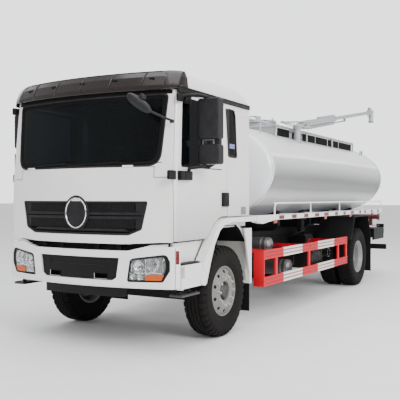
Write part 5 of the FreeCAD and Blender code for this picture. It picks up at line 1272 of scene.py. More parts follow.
AX = 540.0
for sx, side_, wf, wr in ((1, "left", "wheel_fl", "wheel_rl"), (-1, "right", "wheel_fr", "wheel_rr")):
    t = B("tread_front_" + side_, M["tyre"], wf, "tyre_rubber")
    tyre_mesh(t, 1000.0, 1350.0, AX)
    if sx < 0:
        flip(t)
    to = t.done(angle=30)
    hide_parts("tyre_front_" + side_)
    t = B("tread_rear_" + side_, M["tyre"], wr, "tyre_rubber")
    tyre_mesh(t, 1070.0, 6683.0, AX)
    tyre_mesh(t, 730.0, 6683.0, AX)
    if sx < 0:
        flip(t)
    to = t.done(angle=30)
    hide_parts("tyre_rear_" + side_)

    x, yc = 1000.0, 1350.0
    hb = B("hub_front_" + side_, M["dark_steel"], wf, "cast_iron")
    hb.lathe((0, yc, AX), (1, 0, 0), [(116, x + 78), (116, x + 93), (104, x + 94.5), (92, x + 97), (86, x + 102), (82, x + 112), (80.5, x + 128), (76, x + 133), (70, x + 138.6), (58, x + 139.4), (40, x + 139.8), (36, x + 138.6), (0, x + 138.6)], 48)
    hb.lathe((0, yc, AX), (1, 0, 0), [(206, x - 50), (206, x + 36), (202, x + 44), (190, x + 51), (110, x + 52)], 48)
    for k in range(8):
        a = 2 * math.pi * k / 8
        hb.hexbolt((x + 138.6, yc + 63 * math.cos(a), AX + 63 * math.sin(a)), (1, 0, 0), 7, 5)
    if sx < 0:
        flip(hb)
    hb.done()
    # painted shade: near-black discs set just inside the rim's hand holes stand for the shade behind them
    hh = B("hand_hole_shade_discs_front_" + side_, M["dark"], wf, "cast_iron")
    for k in range(10):
        a = 2 * math.pi * (k + 0.5) / 10
        c_ = Vector((x + 121.0, yc + 231 * math.cos(a), AX + 231 * math.sin(a)))
        n_ = Vector((0.915, 0.403 * math.cos(a), 0.403 * math.sin(a)))
        hh.cyl(c_ - n_ * 8, c_ + n_ * 1.2, 21, 24, 0)
    if sx < 0:
        flip(hh)
    hh.done()
    nt_ = B("wheel_nuts_front_" + side_, M["steel"], wf, "rim_paint")
    for k in range(10):
        a = 2 * math.pi * k / 10
        py, pz = yc + 167.5 * math.cos(a), AX + 167.5 * math.sin(a)
        nt_.cyl((x + 133, py, pz), (x + 140, py, pz), 25, 20, 1)
        nt_.hexbolt((x + 139, py, pz), (1, 0, 0), 20, 22)
        nt_.cyl((x + 150, py, pz), (x + 174, py, pz), 15.4, 14, 2)
    if sx < 0:
        flip(nt_)
    nt_.done()
    rl = B("rim_front_details_" + side_, M["rim"], wf, "rim_paint")
    rl.torus((x + 119, yc, AX), (1, 0, 0), 291, 6.5, 64, 10)
    rl.lathe((0, yc, AX), (1, 0, 0), [(272, x + 96), (270, x + 103), (263, x + 107), (256, x + 110), (222, x + 125), (206, x + 132), (196, x + 134.5), (122, x + 134.5), (115, x + 132), (114, x + 128), (114, x + 96)], 72)
    rl.torus((x + 107, yc, AX), (1, 0, 0), 281, 3.5, 64, 8)
    rl.torus((x + 47, yc, AX), (1, 0, 0), 254, 3.0, 64, 8)
    for k in range(10):
        a = 2 * math.pi * (k + 0.5) / 10
        rl.torus((x + 68.2, yc + 230.6 * math.cos(a), AX + 231 * math.sin(a)), (0.74, 0.67 * math.cos(a), 0.67 * math.sin(a)), 26, 3.2, 28, 6)
    rl.tube([(x + 100, yc + 268 * math.cos(0.4), AX + 268 * math.sin(0.4)), (x + 118, yc + 266 * math.cos(0.4), AX + 266 * math.sin(0.4)), (x + 134, yc + 262 * math.cos(0.4), AX + 262 * math.sin(0.4))], 5, 8)
    if sx < 0:
        flip(rl)
    rl.done()

    xo, xi, xm, yr = 1070.0, 730.0, 900.0, 6683.0
    hb = B("hub_rear_" + side_, M["rim_rear"], wr, "rim_paint")
    hb.lathe((0, yr, AX), (1, 0, 0), [(121, xm + 14), (118, xm + 20), (112, xm + 60), (104, xm + 88), (98, xm + 92), (84, xm + 108), (80, xm + 111), (74, xm + 111.6), (72, xm + 108), (0, xm + 108)], 48)
    for k in range(10):
        a = 2 * math.pi * (k + 0.5) / 10
        hb.hexbolt((xm + 92, yr + 91 * math.cos(a), AX + 91 * math.sin(a)), (1, 0, 0), 8, 7)
    hb.torus((xo + 119, yr, AX), (1, 0, 0), 291, 6.5, 64, 10)
    hb.torus((xo + 107, yr, AX), (1, 0, 0), 281, 3.5, 64, 8)
    if sx < 0:
        flip(hb)
    hb.done()
    nt_ = B("wheel_nuts_rear_" + side_, M["steel"], wr, "rim_paint")
    for k in range(10):
        a = 2 * math.pi * k / 10
        py, pz = yr + 142 * math.cos(a), AX + 142 * math.sin(a)
        nt_.cyl((xm + 13.5, py, pz), (xm + 20, py, pz), 23, 20, 1)
        nt_.hexbolt((xm + 19, py, pz), (1, 0, 0), 18.5, 26)
        nt_.cyl((xm + 40, py, pz), (xm + 58.5, py, pz), 12.5, 14, 2)
    nt_.tube([(xo - 60, yr + 225 * math.cos(2.1), AX + 225 * math.sin(2.1)), (xo + 20, yr + 246 * math.cos(2.1), AX + 246 * math.sin(2.1)), (xo + 80, yr + 256 * math.cos(2.1), AX + 256 * math.sin(2.1))], 5, 8)
    if sx < 0:
        flip(nt_)
    nt_.done()
    dr = B("brake_drum_rear_" + side_, M["hub"], wr, "cast_iron")
    dr.lathe((0, yr, AX), (1, 0, 0), [(80, xi - 62), (188, xi - 62), (215, xi - 58), (222, xi - 50), (222, xi + 10), (190, xi + 20), (188, xm - 20)], 48)
    if sx < 0:
        flip(dr)
    dr.done()


# =====================================================================
# tank: end bands, heads, manhole fittings, walkway panels, boom fittings
# =====================================================================
def ell(a, b, n=96):
    return [(a * math.cos(2 * math.pi * k / n), 2040.0 + b * math.sin(2 * math.pi * k / n)) for k in range(n)]


tb = B("tank_end_bands", M["rim_band"], "chassis", "tank_alloy")
for ya, yb in ((2707.5, 2758), (8452, 8502.5)):
    rows = []
    for off, y in ((-7.5, ya + 1), (-2, ya), (1.2, ya + 3), (1.8, ya + 8), (1.8, yb - 8), (1.2, yb - 3), (-2, yb), (-7.5, yb - 1)):
        rows.append([(x, y, z) for x, z in ell(1170 + off, 720 + off)])
    rows.append(rows[0])
    tb.grid(rows, True)
tb.done()
th = B("tank_heads", M["head"], "chassis", "tank_alloy")
for y0, sg_ in ((2713.5, -1), (8496.5, 1)):
    rows = []
    for s_ in (1.0035, 0.996, 0.985, 0.96, 0.92, 0.86, 0.78, 0.66, 0.50, 0.32, 0.14, 0.02):
        y = y0 + sg_ * (1.6 + 150.0 * math.sqrt(max(0.0, 1 - s_ * s_)))
        rows.append([(x * s_, y, 2040 + (z - 2040) * s_) for x, z in ell(1158.6, 708.6, 72)])
    th.grid(rows, True)
    n = len(th.v)
    th.f.append(tuple(range(n - 72, n)))
tho = th.done()
# tank skin wearing the painted reflections and shade of tank_skin()
ts = B("tank_skin", M["tank_skin"], "chassis", "tank_alloy")
rows = []
for y in [2750 + (8460 - 2750) * k / 40 for k in range(41)]:
    rows.append([(x, y, z) for x, z in ell(1163.0, 713.0, 160)])
ts.grid(rows, True)
tso = ts.done(solid=3.0)
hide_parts("tank_shell")
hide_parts("tank_shell")
wb = B("tank_manway_pads", M["rim_band"], "chassis", "tank_alloy")
for yc in (4160, 5610, 7060):
    loop = [(x, yc, z) for x, z in ell(1162.9, 712.9, 128) if z < 1720]
    loop = sorted(loop)
    wb.tube(loop, 3.0, 6)
wb.done()

TOPZ = 2760.0
MY = 4700.0
mf = B("manhole_fittings", M["steel"], "chassis", "tank_paint")
for k in range(20):
    a = 2 * math.pi * (k + 0.5) / 20
    if abs(math.degrees(a) - 90) < 16:
        continue
    mf.hexbolt((321 * math.cos(a), MY + 321 * math.sin(a), TOPZ + 172), (0, 0, 1), 8.5, 5.2)
    mf.hexbolt((321 * math.cos(a), MY + 321 * math.sin(a), TOPZ + 150), (0, 0, -1), 8.5, 7)
mf.torus((0, MY, TOPZ + 100), (0, 0, 1), 301, 4, 48, 8)
mf.done()
md = B("manhole_neck_band", M["dark"], "chassis", "tank_paint")
md.lathe((0, MY, 0), (0, 0, 1), [(300.4, TOPZ + 18), (303, TOPZ + 20), (303, TOPZ + 90), (300.4, TOPZ + 92)], 48)
md.done()
lf_ = B("manhole_lid_fittings", M["steel"], "lid", "tank_paint")
for k in range(6):
    a = 2 * math.pi * (k + 0.5) / 6 - math.pi / 2
    if abs(math.degrees(a) - 90) < 25:
        continue
    c = Vector((math.cos(a), math.sin(a), 0))
    p = Vector((0, MY, 0)) + c * 300
    lf_.cyl((p.x, p.y, TOPZ + 195), (p.x, p.y, TOPZ + 216), 9, 12, 1)
    lf_.torus((p.x, p.y, TOPZ + 218), (c.y, -c.x, 0), 15, 4.5, 18, 8)
lf_.tube([(-90, MY - 180, TOPZ + 210), (-90, MY - 180, TOPZ + 262), (90, MY - 180, TOPZ + 262), (90, MY - 180, TOPZ + 210)], 9, 10, smooth=26)
lf_.lathe((0, MY + 60, 0), (0, 0, 1), [(52, TOPZ + 222), (52, TOPZ + 244), (40, TOPZ + 248), (40, TOPZ + 268), (58, TOPZ + 272), (58, TOPZ + 286), (20, TOPZ + 298), (0, TOPZ + 299)], 28)
lf_.done()

# walkway: dark side panels in bays, partly real kick plates and partly painted shade of the gap under the deck edge;
# white uprights, chequer pattern, rail clamps
wpn = B("walkway_dark_panels_and_shade", M["dark"], "chassis", "black_plastic")
wst = B("walkway_uprights", M["trim"], "chassis", "trim_white")
for ya, yb in ((4016, 4598), (4724, 5170), (5182, 5850), (5862, 6530), (6542, 7200), (7212, 8076)):
    wpn.box(637.5, 640.5, ya, yb, 2590, 2764, 0.5, 1)
for yc in (5176, 5856, 6536, 7206):
    wst.box(637.5, 644, yc - 6, yc + 6, 2610, 2770, 1.5, 1)
wst.box(634, 647, 4000, 8090, 2763, 2785, 3, 2)
wpn.mirror()
wpn.box(-620, 620, 8083, 8086.5, 2700, 2764, 0.5, 1)
wpn.done()
wst.mirror()
for i in range(90):
    y = 4022 + i * 46
    if y > 8070:
        break
    for j in range(13):
        x = -576 + 96 * j
        if math.hypot(x, y - MY) < 395:
            continue
        s_ = 45 if (i + j) % 2 else -45
        wst.box(x - 15, x + 15, y - 2.2, y + 2.2, 2783.5, 2786.5, 0, rot=Matrix.Rotation(math.radians(s_), 3, "Z"))
wst.done()
wc_ = B("rail_clamps", M["steel"], "chassis", "trim_white")
for sx in (1, -1):
    for yc in (4024, 5372, 6744, 8060):
        wc_.cyl((sx * 660 - 0, yc - 14, 2790), (sx * 660, yc + 14, 2790), 20.5, 18, 1.5)
        wc_.hexbolt((sx * 660, yc, 2810), (0, 0, 1), 7, 5)
wc_.done()

# breather valve and lifting lug on the crown
bv = B("tank_breathers", M["steel"], "chassis", "tank_paint")
for x, y in ((330, 3350), (-330, 3350)):
    zt = 2040 + 712 * math.sqrt(1 - (x / 1162.0) ** 2)
    bv.lathe((x, y, 0), (0, 0, 1), [(62, zt - 14), (62, zt + 10), (38, zt + 14), (38, zt + 34), (55, zt + 38), (57, zt + 48), (50, zt + 53), (20, zt + 58), (0, zt + 59)], 28)
for x, y in ((780, 8330), (-780, 8330)):
    zt = 2040 + 712 * math.sqrt(1 - (x / 1162.0) ** 2)
    bv.box(x - 14, x + 14, y - 75, y + 75, zt - 40, zt + 84, 12, 3)
    bv.cyl((x - 17, y, zt + 44), (x + 17, y, zt + 44), 26, 20, 2)
bv.done()


# boom frames of reference, as in the model
PIVX, PIVY, PIVZ = 760.0 + 330.0 * math.sin(math.radians(4.0)), 4660.0 + 330.0 * math.cos(math.radians(4.0)), 2910.0
RB = Matrix.Rotation(math.radians(-4.0), 3, "Z") @ Matrix.Rotation(math.radians(9.4), 3, "X")
RT = Matrix.Rotation(math.radians(-4.0), 3, "Z")


def boomed(b):
    b.v = [tuple(RB @ Vector(p) + Vector((PIVX, PIVY, PIVZ))) for p in b.v]
    return b


def turreted(b):
    b.v = [tuple(RT @ Vector(p) + Vector((760.0, 4660.0, 0.0))) for p in b.v]
    return b


bo_ = B("boom_base_fittings", M["boom"], "boom_outer", "tank_paint")
for y in (70, 640, 1235):
    for s_ in (-1, 1):
        bo_.box(s_ * 46 - 2, s_ * 46 + 2, y, y + 14, -51, 51, 1)
        bo_.box(-48, 48, y, y + 14, s_ * 49 - 2, s_ * 49 + 2, 1)
for y in (100, 1170):
    for x in (-26, 26):
        bo_.hexbolt((x, y, 48), (0, 0, 1), 7, 5)
for x in (-38.5, 38.5):
    for k in range(7):
        bo_.hexbolt((x * 1.0, 600 + 90 * k, 59), (1 if x > 0 else -1, 0, 0), 5, 4)
bo_.tube([(0, 110, -106), (0, 60, -100)], 8, 8)
boomed(bo_)
bo_.done()
bc = B("boom_cylinder_barrel", M["boom"], "boom_outer", "tank_paint")
bc.lathe((0, 0, -78), (0, 1, 0), [(0, 52), (24, 54), (28.5, 58), (28.5, 84), (27.6, 88), (27.6, 1180), (30, 1184), (30, 1216), (27, 1220), (14, 1221)], 28)
bc.tube([(20, 100, -104), (30, 140, -104), (34, 400, -100), (34, 1160, -100), (26, 1190, -98)], 6, 8)
boomed(bc)
bc.done()
bn = B("boom_tip_fittings", M["steel"], "boom_inner", "tank_paint")
bn.cyl((0, 1240, -78), (0, 1780, -78), 12.6, 18, 1)
for y in (1300, 1900, 2500):
    bn.box(-32.5, 32.5, y, y + 8, -33.5, 33.5, 1)
bn.lathe((0, 3320, 0), (1, 0, 0), [(34, -66), (46, -62), (46, -50), (30, -46)], 24)
bn.hexbolt((0, 3175, 66), (0, 0, 1), 14, 10)
boomed(bn)
bn.done()
bk = B("boom_tip_knobs", M["black"], "boom_inner", "tank_paint")
for yy in (3178, 3278):
    bk.cyl((0, yy, 64), (0, yy, 84), 9, 14, 2)
    bk.sphere((0, yy, 92), 17, 16, 10, sz=0.75)
bk.sphere((0, 3200, -80), 11, 14, 8)
boomed(bk)
bk.done()
tipc = RB @ Vector((0, 3320, 0)) + Vector((PIVX, PIVY, PIVZ))
sp = B("spout_rings", M["boom"], "boom_inner", "tank_paint")
sp.lathe((tipc.x, tipc.y, 0), (0, 0, 1), [(50, tipc.z - 96), (57, tipc.z - 94), (57, tipc.z - 84), (50, tipc.z - 82)], 28)
sp.done()
sl_ = B("spout_dark_rim", M["dark"], "boom_inner", "tank_paint")
sl_.lathe((tipc.x, tipc.y, 0), (0, 0, 1), [(44.2, tipc.z - 215.6), (54, tipc.z - 215.6), (56, tipc.z - 212), (56, tipc.z - 204), (54.6, tipc.z - 203), (54.6, tipc.z - 210), (44.2, tipc.z - 211)], 28)
sl_.done()
tr_ = B("turret_fittings", M["boom"], "turret", "tank_paint")
for k in range(8):
    t_ = 2 * math.pi * (k + 0.5) / 8
    tr_.hexbolt((62 * math.cos(t_), 62 * math.sin(t_), 2841), (0, 0, 1), 6, 5)
for x in (-78, 78):
    tr_.hexbolt((x * 0.97, 330, 2910), (1 if x > 0 else -1, 0, 0), 20, 9)
tr_.prism([(0, 2840), (150, 2840), (0, 2880)], "yz", 56, 64, 1)
tr_.prism([(0, 2840), (150, 2840), (0, 2880)], "yz", -64, -56, 1)
tr_.tube([(-22, -560, 2847), (22, -560, 2847)], 17, 12)
turreted(tr_)
tr_.done()
pf = B("boom_pillar_flanges", M["boom"], "chassis", "tank_paint")
for z0, r_ in ((2560, 74), (2640, 66), (2786, 78)):
    pf.cyl((760, 4660, z0), (760, 4660, z0 + 12), r_, 28, 1.5)
    for k in range(8):
        t_ = 2 * math.pi * k / 8
        if z0 != 2640:
            pf.hexbolt((760 + (r_ - 10) * math.cos(t_), 4660 + (r_ - 10) * math.sin(t_), z0 + 12), (0, 0, 1), 5.5, 4)
for x0 in (330, 420, 560):
    pf.cyl((x0, 4660, 2765), (x0 + 13, 4660, 2765), 52, 28, 1.5)
pf.done()
pv = B("boom_pipe_valve", M["iron"], "chassis", "tank_paint")
pv.cyl((470, 4660, 2765), (530, 4660, 2765), 46, 24, 4)
pv.cyl((500, 4660, 2800), (500, 4660, 2830), 13, 16, 2)
pv.torus((500, 4660, 2834), (0, 0, 1), 44, 6, 28, 8)
for k in range(3):
    t_ = 2 * math.pi * k / 3
    pv.tube([(500, 4660, 2834), (500 + 44 * math.cos(t_), 4660 + 44 * math.sin(t_), 2834)], 4, 6)
pv.done()


# =====================================================================
# side guards: red and white lengths of ribbed rail; catwalk tape and markers
# =====================================================================
WHITE_T = [(3009, 3745), (4431, 5243)]
sg = B("guard_rail_red", M["red"], "chassis", "guard_red")
sw_ = B("guard_rail_white", M["tape_white"], "chassis", "trim_white")


# painted shade: thin darker strips along the bottom of the rail hollows, brown on the red lengths and grey on the white
# lengths
sgr = B("guard_hollow_shade_red", M["brown"], "chassis", "guard_red")
sgw = B("guard_hollow_shade_white", M["groove_shade_and_bar_grey"], "chassis", "trim_white")


def rail_len(b, y0, y1, z0):
    """One length of rolled rail on the outer face: three raised ribs and two hollows."""
    pr = [(1163.5, z0 - 1.2), (1200.8, z0 - 1.2), (1201.2, z0 + 3), (1201.2, z0 + 22), (1199.6, z0 + 26), (1194.0, z0 + 32), (1194.0, z0 + 42), (1200.0, z0 + 47), (1201.2, z0 + 50),
          (1201.2, z0 + 70), (1199.6, z0 + 74), (1194.0, z0 + 80), (1194.0, z0 + 90), (1200.0, z0 + 95), (1201.2, z0 + 98), (1201.2, z0 + 117), (1200.8, z0 + 121.2), (1163.5, z0 + 121.2)]
    rows = [[(x, y, z) for x, z in pr] for y in (y0, y1)]
    b.grid(rows, True)
    n = len(b.v)
    m = len(pr)
    b.f.append(tuple(range(n - m, n)))
    b.f.append(tuple(reversed(range(n - 2 * m, n - m))))


for z0 in (830, 475):
    cuts = [2336, WHITE_T[0][0], WHITE_T[0][1], WHITE_T[1][0], WHITE_T[1][1], 5989]
    for i in range(5):
        g_ = sgr if i % 2 == 0 else sgw
        for h_ in (32.5, 80.5):
            g_.box(1193.6, 1194.9, cuts[i] + 2, cuts[i + 1] - 2, z0 + h_, z0 + h_ + 9, 0.3, 1)
        rail_len(sg if i % 2 == 0 else sw_, cuts[i] + 0.4, cuts[i + 1] - 0.4, z0)
for yc in (2775, 4060, 5490, 5950):
    for dy in (-20, 20):
        for zz in (632, 700, 768):
            pass
    for zz in (880, 905, 505, 545):
        sg.hexbolt((1200.5, yc, zz - 0), (1, 0, 0), 8, 5)
sg.box(1047, 1201.5, 2332.5, 2336, 473, 952, 1)
for x_, z_ in ((1065, 500), (1065, 925), (1180, 500), (1180, 925)):
    sg.hexbolt((x_, 2333, z_), (0, -1, 0), 7, 5)
sg.mirror()
sg.done(angle=30)
# painted shade: black plates on the inner faces of the guard rails and behind their front end plate
gi_ = B("guard_rail_inner_shade_plates", M["frame"], "chassis", "frame_black")
for z0 in (831, 476):
    gi_.box(1162.4, 1164.6, 2364, 5986, z0, z0 + 118, 0.5, 1)
gi_.box(1048, 1162, 2360.3, 2362, 477, 948, 0.5, 1)
gi_.mirror()
gi_.done()
sw_.mirror()
sw_.done(angle=30)
for b in (sgr, sgw):
    b.mirror()
    b.done()

TAPE = [(2846, 3026), (3321, 3505), (3814, 3993), (4291, 4485), (4727, 4953), (5286, 5450), (5752, 5898), (6201, 6389), (6737, 6872), (7079, 7197), (7560, 7700), (8040, 8180)]
tp = B("catwalk_red_tape", M["lens_red"], "chassis", "trim_white")
tw = B("catwalk_white_tape", M["tape_white"], "chassis", "trim_white")
last = 2722
for a, b_ in TAPE:
    tp.box(1199.5, 1201.6, a, b_, 1352, 1404, 0.6, 1)
    tw.box(1199.5, 1201.2, last + 3, a - 3, 1352, 1404, 0.6, 1)
    last = b_
tw.box(1199.5, 1201.2, last + 3, 8415, 1352, 1404, 0.6, 1)
tp.mirror()
tp.done()
tw.mirror()
tw.done()
mk = B("side_marker_lamps", M["lens_amber"], "chassis", "lamp_glass")
mb = B("side_marker_bodies", M["black"], "chassis", "black_plastic")
for yc in (2712, 4790, 6165, 7700):
    mb.box(1184, 1198, yc - 62, yc + 62, 1296, 1347, 5, 3)
    mk.box(1196, 1207, yc - 52, yc + 52, 1303, 1341, 5, 3)
mk.mirror()
mk.done()
mb.mirror()
mb.done()
hr_ = B("handrail_fittings", M["trim"], "chassis", "trim_white")
for y in (2722, 4130, 5575, 6970, 8380):
    hr_.cyl((1186, y, 1411), (1186, y, 1420), 22, 20, 2)
    hr_.torus((1186, y, 1421), (0, 0, 1), 12, 3, 20, 8)
    hr_.sphere((1186, y, 1575), 14.5, 14, 8)
    for dx, dy in ((14, 0), (-14, 0)):
        hr_.hexbolt((1186 + dx, y + dy, 1419), (0, 0, 1), 4, 3)
hr_.mirror()
hr_.done()
# chequered walkway plates
cw = B("catwalk_tread", M["alu"], "chassis", "trim_white")
random.seed(4)
for i in range(118):
    y = 2745 + i * 48
    for j, x in enumerate((1070, 1098, 1126)):
        if (i + j) % 2:
            cw.box(x - 9, x + 9, y - 2, y + 2, 1407.5, 1410.0, 0, rot=Matrix.Rotation(math.radians(45), 3, "Z"))
        else:
            cw.box(x - 9, x + 9, y - 2, y + 2, 1407.5, 1410.0, 0, rot=Matrix.Rotation(math.radians(-45), 3, "Z"))
cw.mirror()
cw.done()

# steps: chequered tread, toothed lower rung with an edge bar
st_ = B("step_tread_bars", M["dark_steel"], "chassis", "black_plastic")
for i in range(22):
    y = 300 + i * 16.5
    st_.box(1092, 1184, y, y + 6, 951, 956.5, 1.2)
st_.mirror()
st_.done()
sl = B("lower_step_teeth", M["dark_steel"], "chassis", "black_plastic")
for i in range(24):
    y = 276 + i * 15.2
    sl.box(1150, 1193, y, y + 7, 621, 629, 1.5)
    sl.box(1048, 1090, y, y + 7, 621, 629, 1.5)
sl.box(1192, 1197.5, 270, 640, 604, 624, 2)
sl.box(1040, 1195, 267.5, 271, 604, 624, 1)
sl.mirror()
sl.done()
# painted shade: dark sheets under the front and top of the wheel arches; liner panels at their rear, bolts on the
# valance
al = B("arch_shade_sheets", M["dark"], "chassis", "black_plastic")
LN = [(742, 716), (906, 992), (1106, 1232), (1244, 1312), (1698, 1312), (1826, 1238), (1954, 1096)]
for dz in (0, -5):
    al.grid([[(704, y, z + dz), (1104, y, z + dz)] for y, z in fine(LN, 4)])
al.mirror()
al.done()
gi = B("guard_inner_panels", M["guard_inner"], "chassis", "trim_white")
LN2 = [(1954, 1096), (1979, 600)]
for dz in (0, -5):
    gi.grid([[(704, y, z + dz), (1104, y, z + dz)] for y, z in fine(LN2, 4)])
for x, z in ((1080, 1000), (1080, 720), (900, 1000), (900, 720)):
    gi.cyl((x, 1972, z), (x, 1960, z), 11, 12, 2)
gi.mirror()
gi.done()
vb2 = B("valance_bolts", M["steel"], "chassis", "trim_white")
for x, z in ((1120, 1010), (1120, 700), (780, 1010), (780, 700)):
    vb2.hexbolt((x, 2040.5, z), (0, 1, 0), 8, 6)
for y, z in ((1260, 1372), (1500, 1380), (1740, 1380), (1980, 1380), (1000, 1215), (850, 1030), (735, 850)):
    vb2.sphere((1212, y, z), 6, 12, 6, sx=0.5)
vb2.mirror()
vb2.done()


# =====================================================================
# rear end: lamps, plate, hose cabinet doors, ladder fittings, outlets
# =====================================================================
lr = B("rear_lamp_lenses", M["lens_red"], "chassis", "lamp_glass")
la_ = B("rear_lamp_amber", M["lens_amber"], "chassis", "lamp_glass")
lw = B("rear_lamp_clear", M["tape_white"], "chassis", "lamp_glass")
for x0, x1 in ((830, 930),):
    lr.box(x0, x1, 8787, 8796, 890, 990, 6, 3)
la_.box(938, 1030, 8787, 8796, 890, 990, 6, 3)
lw.box(1038, 1080, 8787, 8796, 890, 990, 6, 3)
lr.box(1088, 1142, 8787, 8796, 890, 990, 6, 3)
lr.box(1010, 1146, 8782, 8790, 1020, 1075, 5, 3)
lr.box(1154, 1160, 8745, 8782, 1020, 1075, 3, 2)
for b in (lr, la_, lw):
    b.mirror()
    b.done()
rbx = B("rear_lamp_frames", M["black"], "chassis", "black_plastic")
rbx.tube([(822, 8790, 882), (1150, 8790, 882), (1150, 8790, 998), (822, 8790, 998), (822, 8790, 882)], 5, 8)
for x in (934, 1034, 1084):
    rbx.box(x - 2.5, x + 2.5, 8786, 8793, 884, 996, 1)
for k in range(5):
    rbx.hexbolt((520 + 120 * k, 8741, 985), (0, 1, 0), 7, 5)
    rbx.hexbolt((520 + 120 * k, 8741, 820), (0, 1, 0), 7, 5)
rbx.mirror()
rbx.done()
npl = B("rear_plate_blank", M["tape_white"], "chassis", "black_plastic")
npl.box(-220, 220, 8792, 8797, 800, 940, 3, 2)
npl.done()
npf = B("rear_plate_frame", M["black"], "chassis", "black_plastic")
npf.box(-234, 234, 8789, 8793, 788, 952, 4, 2)
npf.done()
ub_ = B("underrun_fittings", M["frame"], "chassis", "frame_black")
for x in (-390, 390):
    for z in (545, 605):
        ub_.hexbolt((x - 24, 8950, z), (0, -1, 0), 8, 6)
        ub_.hexbolt((x + 24, 8950, z), (0, -1, 0), 8, 6)
ub_.box(-1151.5, -1148, 8952, 9028, 522, 628, 2, 2)
ub_.box(1148, 1151.5, 8952, 9028, 522, 628, 2, 2)
ub_.done()
urt = B("underrun_tape_red", M["lens_red"], "chassis", "frame_black")
uwt = B("underrun_tape_white", M["tape_white"], "chassis", "frame_black")
for k in range(10):
    x0 = -1140 + 228 * k
    (urt if k % 2 == 0 else uwt).box(x0, x0 + 225, 9029.2, 9031.5, 552, 600, 0.6, 1)
urt.done()
uwt.done()

hcb = B("hose_cabinet_doors", M["brown"], "chassis", "trim_white")
hcb.box(-1112, -782, 8799, 8806, 1072, 1320, 4, 2)
hcb.box(-768, -438, 8799, 8806, 1072, 1320, 4, 2)
hcb.box(-1127, -1119, 8190, 8790, 1072, 1320, 4, 2)
hcb.done()
hcl = B("hose_cabinet_latches", M["steel"], "chassis", "trim_white")
for x in (-800, -750):
    hcl.box(x - 10, x + 10, 8805, 8815, 1170, 1230, 4, 3)
for x in (-1100, -450):
    for z in (1100, 1290):
        hcl.cyl((x, 8808, z - 22), (x, 8808, z + 22), 7, 12, 1)
for z in (1110, 1280):
    hcl.box(-1130, -1126, 8440, 8540, z - 8, z + 8, 1)
hcl.done()
ldf = B("ladder_fittings", M["trim"], "chassis", "trim_white")
for x in (-210, 210):
    ldf.cyl((x, 8830, 700), (x, 8830, 694), 18, 16, 2)
    ldf.box(x - 24, x + 24, 8786, 8796, 976, 1024, 3, 2)
    ldf.hexbolt((x - 14, 8797, 990), (0, 1, 0), 5, 4)
    ldf.hexbolt((x + 14, 8797, 1012), (0, 1, 0), 5, 4)
for i in range(7):
    z = 800 + 250 * i
    for k in range(12):
        ldf.box(-176 + 32 * k, -168 + 32 * k, 8822, 8838, z + 10, z + 14.5, 1)
ldf.done()

# outlets: flange bolts, pump details, hand wheel over the pump
ofl = B("outlet_flange_bolts", M["steel"], "chassis", "cast_iron")
for x, y, z, r in ((1100, 5250, 715, 70), (1103, 8560, 1240, 66)):
    for k in range(8):
        a = 2 * math.pi * (k + 0.5) / 8
        ofl.hexbolt((x, y + r * math.cos(a), z + r * math.sin(a)), (1, 0, 0), 6.5, 5)
ofl.done()
pmp = B("pump_details", M["iron"], "chassis", "cast_iron")
for x in (820, 990):
    pmp.cyl((x, 5250, 715), (x + 14, 5250, 715), 84, 28, 1.5)
for k in range(8):
    a = 2 * math.pi * k / 8
    pmp.hexbolt((764, 5250 + 82 * math.cos(a), 715 + 82 * math.sin(a)), (1, 0, 0), 7, 6)
pmp.box(500, 740, 5100, 5400, 998, 1012, 6, 2)
for k in range(7):
    pmp.box(470, 762, 5100 + 44 * k, 5108 + 44 * k, 640, 985, 2)
pmp.cyl((600, 5250, 1100), (600, 5250, 1116), 84, 28, 1.5)
pmp.tube([(640, 5200, 1010), (700, 5160, 1080), (720, 5000, 1090), (600, 4980, 1020), (500, 4980, 980)], 14, 10, smooth=40)
pmp.done()
phw = B("pump_hand_wheel", M["red"], "chassis", "cast_iron")
phw.torus((760, 5250, 860), (1, 0, 0), 70, 8, 36, 10)
for k in range(3):
    a = 2 * math.pi * k / 3
    phw.tube([(760, 5250, 860), (760, 5250 + 70 * math.cos(a), 860 + 70 * math.sin(a))], 5, 8)
phw.cyl((745, 5250, 860), (776, 5250, 860), 16, 16, 2)
phw.done()

# =====================================================================
# underneath: rails, springs, tanks, hoses, exhaust, prop shaft
# =====================================================================
cf = B("frame_rivets", M["frame"], "chassis", "frame_black")
for y in range(480, 8700, 150):
    for z in (800, 1010):
        cf.cyl((429, y, z), (436, y, z), 9, 10, 2)
cf.mirror()
cf.done()
sp_ = B("spring_details", M["dark_steel"], "chassis", "cast_iron")
for yc in (1350,):
    for dy in (-62, 62):
        for x in (398, 482):
            sp_.cyl((x, yc + dy, 520), (x, yc + dy, 760), 9, 10, 1)
            sp_.hexbolt((x, yc + dy, 520), (0, 0, -1), 14, 14)
            sp_.hexbolt((x, yc + dy, 758), (0, 0, 1), 14, 12)
sp_.mirror()
sp_.done()
atb = B("air_tank_bands", M["alu_dark"], "chassis", "tank_alloy")
for x0, x1, y, z, r in ((520, 1020, 2930, 985, 105), (520, 1000, 3700, 600, 118)):
    for x in (x0 + 90, x1 - 110):
        atb.ring((x, y, z), (1, 0, 0), r + 3, r - 1, 26, 40, 1)
    for s_ in (1,):
        atb.lathe((0, y, z), (1, 0, 0), [(r + 0.6, x1 - 40), (r + 0.6, x1 - 6), (r - 6, x1 + 6), (r - 26, x1 + 20), (r * 0.45, x1 + 30), (20, x1 + 33), (0, x1 + 33)], 40)
        atb.cyl((x1 + 30, y, z), (x1 + 44, y, z), 13, 16, 2)
        atb.hexbolt((x1 + 40, y, z), (1, 0, 0), 16, 10)
atb.done()
atd = B("air_tank_strap_rubbers", M["seal"], "chassis", "tank_alloy")
